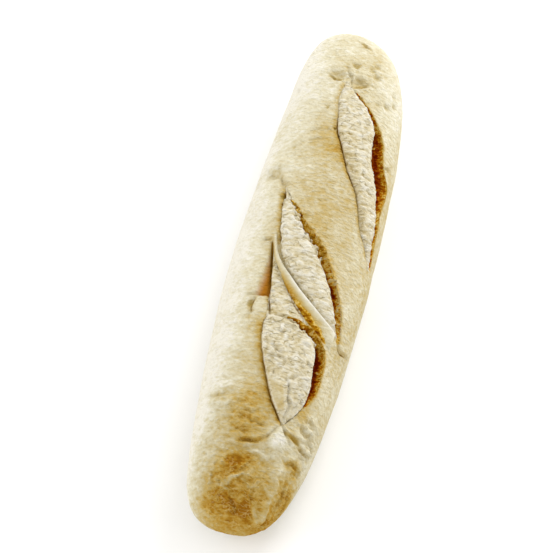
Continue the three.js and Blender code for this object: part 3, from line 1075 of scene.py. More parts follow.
# path, width, depth (under 0 for a ridge), dark (its line of painted shade), lift, tone (browning and painted
# shade, under 0 for pale), whether it winds
CREASES = tuple(Crease(*row) for row in (
    # By the near tip of the near score, and on the flank beside it
    (((-95.6, 18.4), (-93, 16), (-89, 13)), 1.3, 1.5, 0.6, 0.4, 0.1, False),
    (((-99, 4), (-96, 8.4), (-92, 10.6), (-89, 13)), 1.2, 1, 0.3, 0.3, 0.2, False),
    (((-94, 25), (-92.8, 20.6), (-92.2, 15.6)), 1.8, 1.7, 0, 0.7, 0.95, False),
    (((-88.6, 35), (-88, 28), (-86.4, 20)), 2.2, 1.3, 0, 0.8, 0.3),
    (((-95.6, 37), (-95.8, 30), (-95.2, 23)), 1.5, 1.4, 0.3, 0.8, 0.3),
    (((-92, 37), (-91.4, 31), (-90.6, 26)), 1.8, 1.2, 0, 0.8, 0.25),
    (((-84.4, 34), (-83.6, 29), (-82.6, 25)), 1.8, 1, 0, 0.6, 0.25),
    # Across the crown there
    (((-100.6, -4.4), (-99.8, 0), (-99.2, 5.8)), 1.5, 1.4, 0, 0.5, 1.1, False),
    (((-101.6, -10), (-101.2, -2), (-100.6, 5)), 1.5, -1, 0, 0, -0.2),
    (((-104, 3), (-103.8, 10), (-102.6, 16)), 1.6, -1.1, 0, 0, -0.3),
    (((-96.6, -9), (-96.2, -4), (-96.8, 1)), 1.4, 0.8, 0, 0.4, 0.2),
    (((-91.4, -6), (-91, 0), (-91.8, 6)), 1.6, 0.8, 0, 0.5, 0.15),
    (((-87, -8), (-86.4, -2), (-87, 3)), 1.4, 0.7, 0, 0.5, 0.15),
    (((-104.5, 31), (-103, 25), (-103.5, 20)), 2.4, 1.4, 0, 0.8, 0.4),
    (((-107, 24), (-105, 30)), 2, 1.2, 0, 0.5, 0.3),
    # The browned near end
    (((-120, -14), (-118.5, -8), (-115.6, -1), (-111, 7)), 1.3, -1.3, 0, 0, -0.27),
    (((-115.6, -1), (-117.6, 5), (-117.2, 11)), 1, -1, 0, 0, -0.18),
    (((-117, -6), (-121, -4), (-123.5, 0), (-122, 5)), 1, -0.9, 0, 0, -0.22),
    (((-126, -9), (-122, -4), (-119, 0)), 1, -0.8, 0, 0, -0.2),
    (((-110, -12), (-111.5, -6), (-110.5, 0)), 1, -0.8, 0, 0, -0.2),
    (((-125, 9), (-121, 7), (-117, 8), (-113, 11)), 1, -0.9, 0, 0, -0.22),
    (((-113, -1), (-108, 3), (-106, 9)), 1, -0.8, 0, 0, -0.2),
    (((-108, -10), (-106, -5), (-107, 1)), 1, -0.7, 0, 0, -0.2),
    (((-131, 0), (-128, 3), (-124, 3)), 1, -0.7, 0, 0, -0.2),
    (((-122, -12), (-118, -11), (-114, -12)), 1, -0.7, 0, 0, -0.2),
    (((-129, 5), (-126.5, 1), (-124, -1)), 1.4, 0.7, 0.1, 0.2, 0.2),
    (((-128, 15.5), (-123, 16.6), (-116, 17.6), (-106, 17)), 3, -1.2, 0, 0, -0.34),
    (((-130, 18.6), (-127.6, 19.6), (-125, 19)), 2.2, 0.7, 0, 0.5, 0.3),
    (((-129.4, 15.4), (-126.4, 11.6), (-123, 10.4)), 1.5, -0.8, 0, 0, -0.5, False),
    (((-121.5, -8), (-118.6, -4.2), (-115, 0), (-111.4, 6)), 1.6, -0.6, 0, 0, -0.55),
    (((-103.8, -11), (-104.8, -4), (-103.6, 4), (-104, 11)), 1.8, -0.5, 0, 0, -0.3),
    # The flanks, and the far tip of the far score
    (((-81.6, -26), (-81.6, -20), (-80.4, -12)), 3.2, 0.8, 0, 0.5, 0.4, False),
    (((-43.4, 45), (-43.8, 40), (-45.2, 35), (-44, 32), (-40.6, 30.2)), 1.6, 1.5, 0.9, 0.5, 0.3, False),
    (((24.4, -15.8), (28.4, -16.6), (32.4, -20.4), (35, -25)), 2.6, 1.4, 0, 0.3, 0.25),
    (((94, 1.4), (98, 0.8), (103, -1.4)), 1.5, 1.4, 0.35, 0.3, 0.1),
    (((91.2, 3), (92.4, 6.5), (95, 10.5)), 1.5, 1.3, 0.2, 0.5, 0.5, False),
    (((95.4, -3), (94.8, -6.6), (97.4, -10.6)), 1.5, 1.3, 0.2, 0.5, 0.5, False),
    (((124.4, 3), (122.2, 5), (121.2, 8.4)), 1.5, 1.2, 0.6, 0.4, 0.6),
    # Round the strap and the sunken skin
    (((-42.5, -14.4), (-37, -16), (-32, -14.8)), 1.9, 1.4, 0.85, 0.3, 0.3),
    # The painted shadow of the strap on the crumb beside its left edge
    (((-43.4, 14.6), (-38.8, 9.4), (-34, 5.2), (-30, 1.8), (-25.6, -1.8)), 2.6, 0.6, 0.8, 0, 0),
    (((19.4, -14.6), (22, -15), (25.4, -15.6)), 1.9, 1.3, 1, 0, 0.2),
    (((-31.2, -20), (-31.4, -14.8)), 1.3, 0.8, 0.3, 0.2, 0.1),
    (((-31.4, -14.6), (-31.4, -8.4)), 1, 0.9, 0.35, 0),
    (((-2, -19.4), (-2.6, -14)), 1.8, 1.4, 0.8, 0.5, 0.4),
    (((-42, -4.8), (-36, -6.6), (-31, -8.2)), 1.5, 1.6, 1, 0, 0.2, False),
    (((-34, -7.2), (-20, -10.2), (-8, -12.8), (-2, -14.4)), 1.8, 1.5, 1.8, 0, 0.4, False),
    (((-41, -5), (-40.3, -1), (-41, 3), (-43, 8.5), (-45, 12)), 1.3, 1, 0.5, 0.4, 0, False),
    # The near score's crumb
    (((-88, 13.6), (-83, 13.4), (-78, 12), (-73, 10.4), (-70, 8)), 1.2, 1.4, 0.4, 0.3),
    (((-71, 9), (-69.4, 12), (-66, 13.4)), 1.4, 1.2, 0.3, 0.4),
    (((-60.4, -3), (-61, 2), (-61.6, 8)), 1.2, 1.2, 0.35, 0.4),
    (((-54.6, -3), (-56.4, 2), (-59, 4)), 1.6, 1.3, 0.3, 0.5),
    (((-59, 15), (-60, 20)), 1.2, 1, 0.3, 0.3),
    (((-77.6, 16.4), (-75.4, 18)), 1.1, 0.9, 0.3, 0.2),
    (((-50, 12), (-51.6, 16.4)), 1.3, 1, 0.25, 0.3),
    (((-70, 3.4), (-66, 2.6)), 1.2, 0.9, 0.35, 0.2),
    (((-48, -1), (-47.4, 5)), 1.2, 0.9, 0.2, 0.3),
    (((-68, 16), (-67, 20)), 1.2, 0.9, 0.2, 0.3),
    # In and by the far score
    (((52.6, 29.8), (55, 33.6), (58.4, 35.6)), 1.4, 1, 0.3, 0.4, 0.2),
    # Painted shade on the crumb under the far score's left crust
    (((50, 9), (44, 12), (37.6, 15.4)), 3.4, 0.7, 0.5, 0, 0, False),
    (((61, 1.8), (59, 3.6)), 1.3, 1, 0.6, 0, 0, False),
    (((57, -3), (56, -8), (54, -11)), 1.6, 0.7, 0, 0.15, 0.12),
    (((62, -4), (61, -9), (58, -12)), 1.6, 0.6, 0, 0.15, 0.12),
    # The near end's right flank
    (((-126, 28), (-119, 29), (-112, 27)), 1.5, 0.9, 0, 0.5, 0.1),
    (((-124, 23), (-117, 24), (-109, 22.4)), 1.5, 0.9, 0, 0.5, 0.1),
))
# y, w, radius, depth, tone (a little browning, and painted shade in the hollow)
DIMPLES = tuple(Dimple(*row) for row in (
    (106, 2.5, 2, 1.7, 0.36), (105.6, 10.5, 1.7, 1.4), (109.5, 13, 1.5, 1.1),
    (101.5, 13.5, 1.9, 1.6, 0.34), (87.5, 22.2, 1.9, 1.6, 0.34), (91, 27, 1.6, 1.3), (97, 25, 1.4, 1),
    (86, 17, 1.2, 0.8), (76, -7, 0.8, 1.2, 0.65), (51, -18, 0.9, 0.7), (64, -2.6, 1.4, -0.7, -0.2),
    (64, -0.6, 0.6, 1.6, 0.9), (85.4, 7.6, 0.9, 1.4, 0.9), (22, -15.8, 1.3, 1.8, 0.6),
    (70, 13.6, 0.7, 0.7), (88, -27, 1.6, 0.6, 0.1), (12.4, -1.6, 1.4, 0.8, 0.3),
    (-36, -16.2, 1.4, 0.9, 0.5),
))
# y, w, reach, height, pale, tone
SHREDS = tuple(Shred(*row) for row in (
    (-17.4, 19.8, 1.3, 3, 0.44, 0.52), (-15.2, 18.6, 1.4, 3, 0.44, 0.52), (-13, 17, 1.2, 2.6, 0.44, 0.52),
    (-27.4, 25.8, 1, 2.6, 0.44, 0.55), (-25.4, 25, 1.1, 2.6, 0.44, 0.55), (-32, 27.8, 0.8, 2),
    (-6, 13, 0.8, 1.4), (-1, 8.6, 1, 1.4), (8.6, -0.6, 1, 1.2), (14.6, -5.6, 0.8, 1),
    (-45, 17.4, 0.8, 1.6), (-43.6, 15.4, 1, 1.6), (-42, 11.6, 0.9, 1.2), (-41, 8, 0.7, 1.2),
    (-66, 24, 0.7, 1.2, 0.46), (-59, 24.4, 0.6, 1, 0.44), (44, 31.6, 0.7, 1.2),
    (62, 22.6, 0.8, 1.2, 0.46),
))
# y, w, reach along the roll and across it, tone, shade (painted shade, for the dents)
BAKED_PATCHES = tuple(BakedPatch(*row) for row in (
    (-10, 6, 150, 27, 0.39), (-10, 46, 150, 17, 0.27), (108, 4, 36, 50, -0.06), (-117, 2, 24, 24, 0.08),
    (-22, 30, 22, 8, -0.04), (24, 8, 14, 8, -0.05), (-119.5, 0, 17, 13.5, 0.295),
    (-116, 16.5, 12, 4.2, -0.1), (-126, 14, 3.2, 4, -0.2), (55, -27, 30, 10, 0.05),
    (-110, -3, 5.5, 7, 0.16), (-125, 8, 6, 5, 0.1), (-108, -12, 30, 14, 0.14), (-120, 28, 16, 10, 0.52),
    (-132, 8, 10, 30, 0.34), (-122, 16, 14, 4, 0.24), (97, -6.8, 2.6, 4, 0.08, 0.36),
    (94.8, 6.4, 3, 4.2, 0.1, 0.38), (10, 5, 8, 5, 0.1), (-103, 25, 3.5, 5.5, 0.22),
    (-109, -2, 3.6, 5, 0.12), (-117, -8, 3.6, 5, 0.12), (-123.5, -3, 3, 4, 0.1), (-127, 6, 3.5, 6, 0.1),
    (-88, -1, 12, 10, 0.2), (-91, 0, 3, 7, 0.1), (-78, -3, 5, 5, 0.12), (-80, 22, 5, 4, 0.3),
    (-95, 13, 5, 5, -0.32), (-101, 4, 2.6, 12, -0.1), (-88, 28, 8, 8, -0.04),
    (35.6, -26, 3.6, 5, 0.14, 0.16), (-36.5, -11, 4.4, 3.2, -0.12), (-47, -10, 5, 3, 0.1),
    (51.5, 1.5, 3.5, 3, 0.2), (58, -2, 5, 5, 0.09), (66, -5, 4, 4, 0.09), (116, -2, 16, 26, 0.1),
))
# y, w, reach along the roll and across it, height, size of the folds, seed
WRINKLES = tuple(Wrinkles(*row) for row in (
    (-114, -4, 16, 26, 0.5, (4, 2.2, 4), 21),
    (-115, 28, 16, 9, 0.5, (6, 1.8, 6), 22),
    (-93, 33, 14, 10, 1.1, (8, 2.8, 8), 27),
    (-88, -6, 12, 18, 0.6, (6, 2, 6), 26),
    (38, 4, 34, 16, 0.42, (8, 1.8, 8), 23),
    (-30, 40, 40, 14, 0.36, (4, 3, 4), 24),
    (-62, -20, 30, 14, 0.3, (9, 1.7, 9), 28),
    (100, 10, 24, 22, 0.34, (4.6, 3, 4.6), 25),
))


def placed_object(
    name: str, shape: bmesh.types.BMesh, material: bpy.types.Material
) -> bpy.types.Object:
    """Makes an object at the origin.

    Args:
        name: The object's name.
        shape: Its shape, which is freed.
        material: Its finish.

    Returns:
        The object, in the scene.
    """
    mesh = bpy.data.meshes.new(name)
    shape.to_mesh(mesh)
    shape.free()
    mesh.materials.append(material)
    made = bpy.data.objects.new(name, mesh)
    bpy.context.scene.collection.objects.link(made)
    return made


@dataclass
class Roll:
    """The roll's skin as one mesh, shaped and dressed."""

    form: LoafForm
    columns: int = 136
    rings: int = 260
    crown_bias: float = 0.35
    region_margin: float = 3.0
    line_margin: float = 1.3
    crease_margin: float = 0.8
    wrinkled: tuple[float, float, float, float] = (-131.0, -78.0, -17.0, 35.0)
    base_free: Range = (1.5, 8.0)
    end_bluntness: int = 8
    end_free: float = 0.16
    weld: float = 1e-3
    scores: tuple[Score, ...] = (FAR_SCORE, MIDDLE_SCORE, NEAR_SCORE)

    def features(self) -> list[Feature]:
        """Lists all that shapes the skin.

        Returns:
            The features, in the order in which they are laid on.
        """
        return [
            Lumps(),
            *SWELLS,
            *BAKED_PATCHES,
            LOW_CRUMB,
            *self.scores,
            SUNKEN_SKIN,
            SMOOTH_LOBE,
            *SHREDS,
            STRAP,
            *CREASES,
            *DIMPLES,
            *WRINKLES,
            CrumbFolds(),
        ]

    def flat_sheet(self) -> bmesh.types.BMesh:
        """Lays the skin out flat, with closer columns at the crown.

        Returns:
            The sheet: x is the share of the way round, y the share of the way along.
        """
        sheet = bmesh.new()
        bmesh.ops.create_grid(sheet, x_segments=self.columns, y_segments=self.rings, size=1.0)
        for vert in sheet.verts:
            x, y = vert.co.x, vert.co.y
            closer = self.crown_bias * math.sin(math.pi * x) / math.pi
            vert.co = ((x - closer) / 2, (y + 1) / 2, 0.0)
        return sheet

    def places(self, sheet: bmesh.types.BMesh) -> tuple[np.ndarray, np.ndarray]:
        """Returns how far round and how far along each vertex of the flat sheet is, as shares."""
        flat = np.array([vert.co[:2] for vert in sheet.verts])
        return np.clip(flat[:, 0], -0.5, 0.5), np.clip(flat[:, 1], 0.0, 1.0)

    def refine(
        self, sheet: bmesh.types.BMesh, wanted: Callable[[np.ndarray, np.ndarray], np.ndarray]
    ) -> None:
        """Divides the sheet's faces where they are wanted finer.

        Args:
            sheet: The flat sheet.
            wanted: Says for y and w of each vertex, in millimetres, whether it lies where detail is.
        """
        turn, share = self.places(sheet)
        points, across = self.form.place(turn, share)
        chosen = wanted(points[:, 1], across)
        sheet.verts.index_update()
        faces = [face for face in sheet.faces if any(chosen[vert.index] for vert in face.verts)]
        edges = list({edge for face in faces for edge in face.edges})
        bmesh.ops.subdivide_edges(sheet, edges=edges, cuts=1, use_grid_fill=True)

    def in_detail(self, y: np.ndarray, w: np.ndarray) -> np.ndarray:
        """Finds what lies in or by a score, the strap or a crease, or on the wrinkled near end.

        Args:
            y: Places along the roll.
            w: Places round the skin.

        Returns:
            Whether each place does.
        """
        low, high, left, right = self.wrinkled
        margin = self.region_margin
        found = (y > low) & (y < high) & (w > left) & (w < right)
        for crease in CREASES:
            found |= crease.distance(y, w)[0] < crease.width + self.crease_margin
        for score in self.scores:
            low, high = score.left.span()
            beside = (w > score.left.at(y) - margin) & (w < score.lip.at(y) + margin)
            found |= beside & (y > low - margin) & (y < high + margin)
        low, high = STRAP.left.span()
        beside = (w > STRAP.left.at(y) - 2 * margin) & (w < STRAP.right.at(y) + margin)
        return found | (beside & (y > low) & (y < high))

    def on_lines(self, y: np.ndarray, w: np.ndarray) -> np.ndarray:
        """Finds what lies on the edge of a score or of the strap.

        Args:
            y: Places along the roll.
            w: Places round the skin.

        Returns:
            Whether each place does.
        """
        found = np.zeros(len(y), bool)
        for line in [line for part in (*self.scores, STRAP) for line in part.lines()]:
            low, high = line.span()
            found |= (np.abs(w - line.at(y)) < self.line_margin) & (y > low) & (y < high)
        return found

    def shaped_skin(self, turn: np.ndarray, share: np.ndarray) -> tuple[np.ndarray, Skin]:
        """Shapes the skin.

        Args:
            turn: How far round each vertex is.
            share: How far along each vertex is.

        Returns:
            The vertices' places in millimetres, and the skin with its masks.
        """
        rest, across = self.form.place(turn, share)
        skin = Skin(y=rest[:, 1], w=across, rest=rest)
        for feature in self.features():
            feature.shape(skin)
        from_middle = np.minimum(np.abs(2 * share - 1), 1.0)
        ends = np.clip(np.sqrt(1.0 - from_middle**self.end_bluntness) / self.end_free, 0.0, 1.0)
        skin.height *= smooth(rest[:, 2], *self.base_free) * ends
        placed = rest + self.form.outward(turn, share) * skin.height[:, None]
        placed[:, 2] = np.maximum(placed[:, 2], 0.0)
        return placed, skin

    def build(self, material: bpy.types.Material) -> bpy.types.Object:
        """Makes the roll.

        Args:
            material: Its finish.

        Returns:
            The roll as one object at the origin.
        """
        sheet = self.flat_sheet()
        self.refine(sheet, self.in_detail)
        self.refine(sheet, self.on_lines)
        placed, skin = self.shaped_skin(*self.places(sheet))
        layers = {mask: sheet.verts.layers.float.new(mask.value) for mask in Mask}
        for index, vert in enumerate(sheet.verts):
            vert.co = placed[index] * MM
            for mask, layer in layers.items():
                vert[layer] = skin.masks[mask][index]
        bmesh.ops.remove_doubles(sheet, verts=sheet.verts, dist=self.weld * MM)
        bmesh.ops.recalc_face_normals(sheet, faces=sheet.faces)
        piece = placed_object("roll", sheet, material)
        piece.data.shade_smooth()
        return piece


# ---------------------------------------------------------------- shader maths


class Value:
    """A number that varies over the surface, so that shader maths reads as Python."""

    def __init__(self, kit: "NodeKit", socket: bpy.types.NodeSocket) -> None:
        """Wraps a node's output socket."""
        self.kit = kit
        self.socket = socket

    def __add__(self, other: "Value | float") -> "Value":
        """Adds."""
        return self.kit.maths("ADD", self, other)

    def __radd__(self, other: float) -> "Value":
        """Adds to a plain number."""
        return self.kit.maths("ADD", other, self)

    def __sub__(self, other: "Value | float") -> "Value":
        """Subtracts."""
        return self.kit.maths("SUBTRACT", self, other)

    def __rsub__(self, other: float) -> "Value":
        """Subtracts from a plain number."""
        return self.kit.maths("SUBTRACT", other, self)

    def __mul__(self, other: "Value | float") -> "Value":
        """Multiplies."""
        return self.kit.maths("MULTIPLY", self, other)

    def __rmul__(self, other: float) -> "Value":
        """Multiplies a plain number."""
        return self.kit.maths("MULTIPLY", other, self)

    def __abs__(self) -> "Value":
        """Returns the value without its sign."""
        return self.kit.maths("ABSOLUTE", self, 0.0)

    def clamped(self) -> "Value":
        """Returns the value held between 0 and 1."""
        return self.kit.maths("ADD", self, 0.0, clamp=True)

    def stepped(self, low: float, high: float) -> "Value":
        """Makes a smooth step of the value.

        Args:
            low: Where it is still 0.
            high: Where it has come to 1.

        Returns:
            The step.
        """
        settings = {"interpolation_type": "SMOOTHSTEP"}
        sockets = {"Value": self, "From Min": low, "From Max": high}
        return Value(self.kit, self.kit.node("ShaderNodeMapRange", settings, sockets).outputs[0])


@dataclass(frozen=True)
class Texture:
    """Noise in object space: the size of its features along each axis, in millimetres, and its layers."""

    size: tuple[float, float, float]
    detail: float
    seed: float
    roughness: float = 0.5
    strength: float = 1.0


class NodeKit:
    """Builds one material's nodes."""

    # A Mix node's colours are known by number, because its other types have sockets of the same names
    MIX_COLOURS = (6, 7)
    MIX_RESULT = 2

    def __init__(self, name: str) -> None:
        """Starts a material with an empty node tree.

        Args:
            name: The material's name.
        """
        self.material = bpy.data.materials.new(name)
        self.material.use_nodes = True
        self.tree = self.material.node_tree
        self.tree.nodes.clear()

    def node(self, kind: str, settings: dict | None = None, sockets: dict | None = None) -> bpy.types.Node:
        """Adds a node.

        Args:
            kind: The node's type.
            settings: Its own settings, set first. "stops" are a colour ramp's places and colours.
            sockets: Values or links for its inputs, by name or number.

        Returns:
            The node.
        """
        made = self.tree.nodes.new(kind)
        for name, value in (settings or {}).items():
            if name == "stops":
                self.set_stops(made, value)
            else:
                setattr(made, name, value)
        for name, value in (sockets or {}).items():
            source = value.socket if isinstance(value, Value) else value
            if isinstance(source, bpy.types.NodeSocket):
                self.tree.links.new(source, made.inputs[name])
            else:
                made.inputs[name].default_value = source
        return made

    def set_stops(self, ramp: bpy.types.Node, stops: Stops) -> None:
        """Gives a colour ramp its stops.

        Args:
            ramp: The ramp's node.
            stops: Its places and colours.
        """
        elements = ramp.color_ramp.elements
        while len(elements) < len(stops):
            elements.new(1.0)
        for element, (place, colour) in zip(elements, stops):
            element.position = place
            element.color = (*colour, 1.0)

    def maths(
        self, operation: str, first: Value | float, second: Value | float, clamp: bool = False
    ) -> Value:
        """Adds a Math node on two values."""
        settings = {"operation": operation, "use_clamp": clamp}
        return Value(self, self.node("ShaderNodeMath", settings, {0: first, 1: second}).outputs[0])

    def attribute(self, mask: Mask) -> Value:
        """Reads one of the mesh's masks."""
        made = self.node("ShaderNodeAttribute", {"attribute_name": mask.value})
        return Value(self, made.outputs["Fac"])

    def noise(self, texture: Texture) -> Value:
        """Adds noise.

        Args:
            texture: Its size and its layers.

        Returns:
            The noise, 0 to 1 with a middle of 0.5.
        """
        place = self.node("ShaderNodeTexCoord").outputs["Object"]
        stretch = Vector([1.0 / (size * MM) for size in texture.size])
        sockets = {"Vector": place, "Scale": stretch, "Location": (texture.seed, texture.seed, 0)}
        moved = self.node("ShaderNodeMapping", {}, sockets).outputs[0]
        layers = {"Detail": texture.detail, "Roughness": texture.roughness}
        sockets = {"Vector": moved, "Scale": 1.0, **layers}
        return Value(self, self.node("ShaderNodeTexNoise", {"noise_dimensions": "3D"}, sockets).outputs[0])

    def uneven(self, texture: Texture) -> Value:
        """Adds noise that goes up and down about 0, as far as its strength takes it."""
        return (self.noise(texture) - 0.5) * texture.strength

    def threads(self, texture: Texture, width: float) -> Value:
        """Adds thin winding threads, 1 in their middle and 0 between them."""
        away = abs(self.noise(texture) - 0.5)
        return (1.0 - away * (1.0 / width)).clamped()

    def toned(self, stops: Stops, tone: Value) -> bpy.types.NodeSocket:
        """Colours by a tone of 0 to 1 along some stops."""
        return self.node("ShaderNodeValToRGB", {"stops": stops}, {"Fac": tone.clamped()}).outputs["Color"]

    def mixed(
        self, first: bpy.types.NodeSocket, second: Colour | bpy.types.NodeSocket, factor: Value
    ) -> bpy.types.NodeSocket:
        """Mixes two colours.

        Args:
            first: The colour where the factor is 0.
            second: The colour where it is 1.
            factor: The share of the second.

        Returns:
            The mixed colour.
        """
        settings = {"data_type": "RGBA", "blend_type": "MIX", "clamp_factor": True}
        if isinstance(second, tuple):
            second = (*second, 1.0)
        sockets = {0: factor, **dict(zip(self.MIX_COLOURS, (first, second)))}
        return self.node("ShaderNodeMix", settings, sockets).outputs[self.MIX_RESULT]

    def surface(self, sockets: dict) -> bpy.types.Material:
        """Ends the material in a Principled shader.

        Args:
            sockets: Values and links for the shader's inputs.

        Returns:
            The material.
        """
        shader = self.node("ShaderNodeBsdfPrincipled", {}, sockets)
        self.node("ShaderNodeOutputMaterial", {}, {"Surface": shader.outputs[0]})
        return self.material


# ---------------------------------------------------------------- finishes


@dataclass(frozen=True)
class BakedDough:
    """The roll's finish: floury crust, browned crust, crumb and the torn walls of the gaps, whose colours
    also hold painted shade and painted highlights.
    """

    crust_tones: Stops = (
        (0.0, (0.80, 0.765, 0.67)),
        (0.15, (0.69, 0.64, 0.475)),
        (0.3, (0.60, 0.522, 0.33)),
        (0.45, (0.54, 0.425, 0.2)),
        (0.6, (0.505, 0.35, 0.105)),
        (0.75, (0.445, 0.26, 0.043)),
        (0.88, (0.37, 0.185, 0.016)),
        (1.0, (0.30, 0.125, 0.008)),
    )
    crumb_tones: Stops = (
        (0.0, (0.78, 0.745, 0.64)),
        (0.35, (0.66, 0.585, 0.4)),
        (0.65, (0.50, 0.40, 0.205)),
        (1.0, (0.28, 0.19, 0.05)),
    )
    # The tones of frayed and plain gap walls: their own colour, darker deeper down as painted shade
    frayed_tones: Stops = (
        (0.0, (0.72, 0.52, 0.17)),
        (0.25, (0.58, 0.35, 0.04)),
        (0.5, (0.42, 0.20, 0.006)),
        (0.75, (0.27, 0.095, 0.003)),
        (1.0, (0.15, 0.035, 0.001)),
    )
    gap_tones: Stops = (
        (0.0, (0.64, 0.44, 0.11)),
        (0.12, (0.56, 0.32, 0.03)),
        (0.28, (0.46, 0.19, 0.004)),
        (0.5, (0.32, 0.085, 0.002)),
        (0.75, (0.20, 0.028, 0.001)),
        (1.0, (0.12, 0.009, 0.0005)),
    )
    # The dark colour of the painted shade in cracks and creases
    crack: Colour = (0.20, 0.10, 0.008)
    # The colour of the painted shade that the shade mask lays on the crust
    shadow: Colour = (0.38, 0.275, 0.055)
    # The colour of the painted highlight on the crust's thin ridges
    ridge: Colour = (0.66, 0.465, 0.165)
    blush: Colour = (0.40, 0.16, 0.014)
    # The crust's changes of tone, its fine wrinkles, and its thin ridges, which show where it is baked and
    # carry a painted highlight
    broad: Texture = Texture((14.0, 14.0, 14.0), 2.0, 1.0, strength=0.8)
    streaks: Texture = Texture((4.0, 2.0, 4.0), 3.0, 9.0)
    wrinkles: Texture = Texture((2.1, 1.15, 2.1), 3.0, 2.0, 0.55)
    threads: Texture = Texture((2.6, 1.7, 2.6), 1.0, 10.0, 0.4)
    thread_width: float = 0.06
    threaded: Texture = Texture((6.0, 6.0, 6.0), 1.0, 12.0)
    threaded_range: Range = (0.36, 0.58)
    crinkled_bake: Range = (0.2, 0.7)
    # The crumb's fine folds, its changes of tone and its creases, the gaps' tears, and the grain of all
    folds: Texture = Texture((2.0, 0.9, 2.0), 3.0, 8.0, 0.6)
    patches: Texture = Texture((5.0, 3.0, 5.0), 2.0, 5.0, strength=0.6)
    creases: Texture = Texture((5.0, 2.2, 5.0), 1.0, 15.0, 0.4)
    crease_width: float = 0.03
    creased: Texture = Texture((5.0, 5.0, 5.0), 1.0, 16.0)
    creased_range: Range = (0.42, 0.52)
    tears: Texture = Texture((2.4, 1.5, 2.4), 4.0, 6.0, 0.7, strength=3.0)
    grains: Texture = Texture((0.8, 0.7, 0.8), 3.0, 7.0, 0.6)
    # Between which amounts of its mask each of these comes in
    crumb_range: Range = (0.3, 0.7)
    hollow_range: Range = (0.02, 0.12)
    blush_range: Range = (0.0, 0.65)
    crack_shade_range: Range = (0.35, 0.95)
    # How far each of these changes the crust's colour, and how much the change is calmed on the strap. The
    # relief and the fold paint highlight on the wrinkles' ridges and shade in their folds, the threads paint
    # a highlight, and the shadow paints shade
    crust_relief: float = 1.1
    crust_fold: float = 0.22
    plain_change: float = 0.33
    baked_change: float = 0.4
    taut_calm: float = 0.5
    thread_highlight_share: float = 0.6
    shadow_share: float = 0.8
    # The crumb's tone, and how far each of these changes it. Fold and crease paint shade in the crumb's folds
    # and creases and highlight on its ridges, and shade is painted shade
    crumb_tone: float = 0.25
    crumb_fold: float = 0.3
    crumb_crease: float = 0.22
    crumb_shade: float = 0.22
    # The bump of each, as a share of the bump's height in millimetres
    bump_height: float = 1.1
    wrinkle_bump: float = 1.4
    thread_bump: float = 0.2
    crease_bump: float = 0.35
    grain_bump: float = 0.3
    roughness: float = 0.62
    grain_roughness: float = 0.25

    def crust(self, kit: NodeKit, relief: Value, threads: Value) -> bpy.types.NodeSocket:
        """Colours the crust by its browning, from floury white to gold and brown. The ridges of its wrinkles
        are painted paler as highlight and their folds darker as shade; its thin ridges get a painted
        highlight, and the shade mask painted shade.

        Args:
            kit: The material's nodes.
            relief: The crust's fine wrinkles.
            threads: Its thin ridges, 1 on them, painted paler as a highlight.

        Returns:
            The colour.
        """
        bake = kit.attribute(Mask.BAKE)
        folds = kit.uneven(self.broad) + kit.uneven(self.streaks) - (relief - 0.5) * self.crust_relief
        folds = folds - kit.attribute(Mask.FOLD) * self.crust_fold
        change = bake * self.baked_change + self.plain_change
        calm = 1.0 - kit.attribute(Mask.TAUT) * self.taut_calm
        toned = kit.toned(self.crust_tones, bake + folds * change * calm)
        toned = kit.mixed(toned, self.ridge, threads * self.thread_highlight_share)
        return kit.mixed(toned, self.shadow, kit.attribute(Mask.PAINTED_SHADE_AND_FRAY) * self.shadow_share)

    def torn_crumb(self, kit: NodeKit, relief: Value, creases: Value) -> bpy.types.NodeSocket:
        """Colours the crumb, darker and yellower in its folds and creases and where the shade mask lies, all
        painted shade, and paler on the ridges of its folds, painted highlight.

        Args:
            kit: The material's nodes.
            relief: The crumb's fine folds.
            creases: Its thin creases, 1 in them.

        Returns:
            The colour.
        """
        folded = kit.attribute(Mask.FOLD) * self.crumb_fold + (relief - 0.5)
        shaded = kit.attribute(Mask.PAINTED_SHADE_AND_FRAY) * self.crumb_shade + kit.uneven(self.patches)
        return kit.toned(self.crumb_tones, self.crumb_tone - folded + creases * self.crumb_crease + shaded)

    def torn_gap(self, kit: NodeKit) -> bpy.types.NodeSocket:
        """Colours the gaps from golden at the lip to a deep reddish brown far down: the walls' own browned
        colour, darkened with depth by painted shade. Where the shade mask marks fray, the frayed tones are
        used.

        Args:
            kit: The material's nodes.

        Returns:
            The colour.
        """
        tone = kit.attribute(Mask.HOLLOW) + kit.uneven(self.tears)
        plain, frayed = kit.toned(self.gap_tones, tone), kit.toned(self.frayed_tones, tone)
        return kit.mixed(plain, frayed, kit.attribute(Mask.PAINTED_SHADE_AND_FRAY))

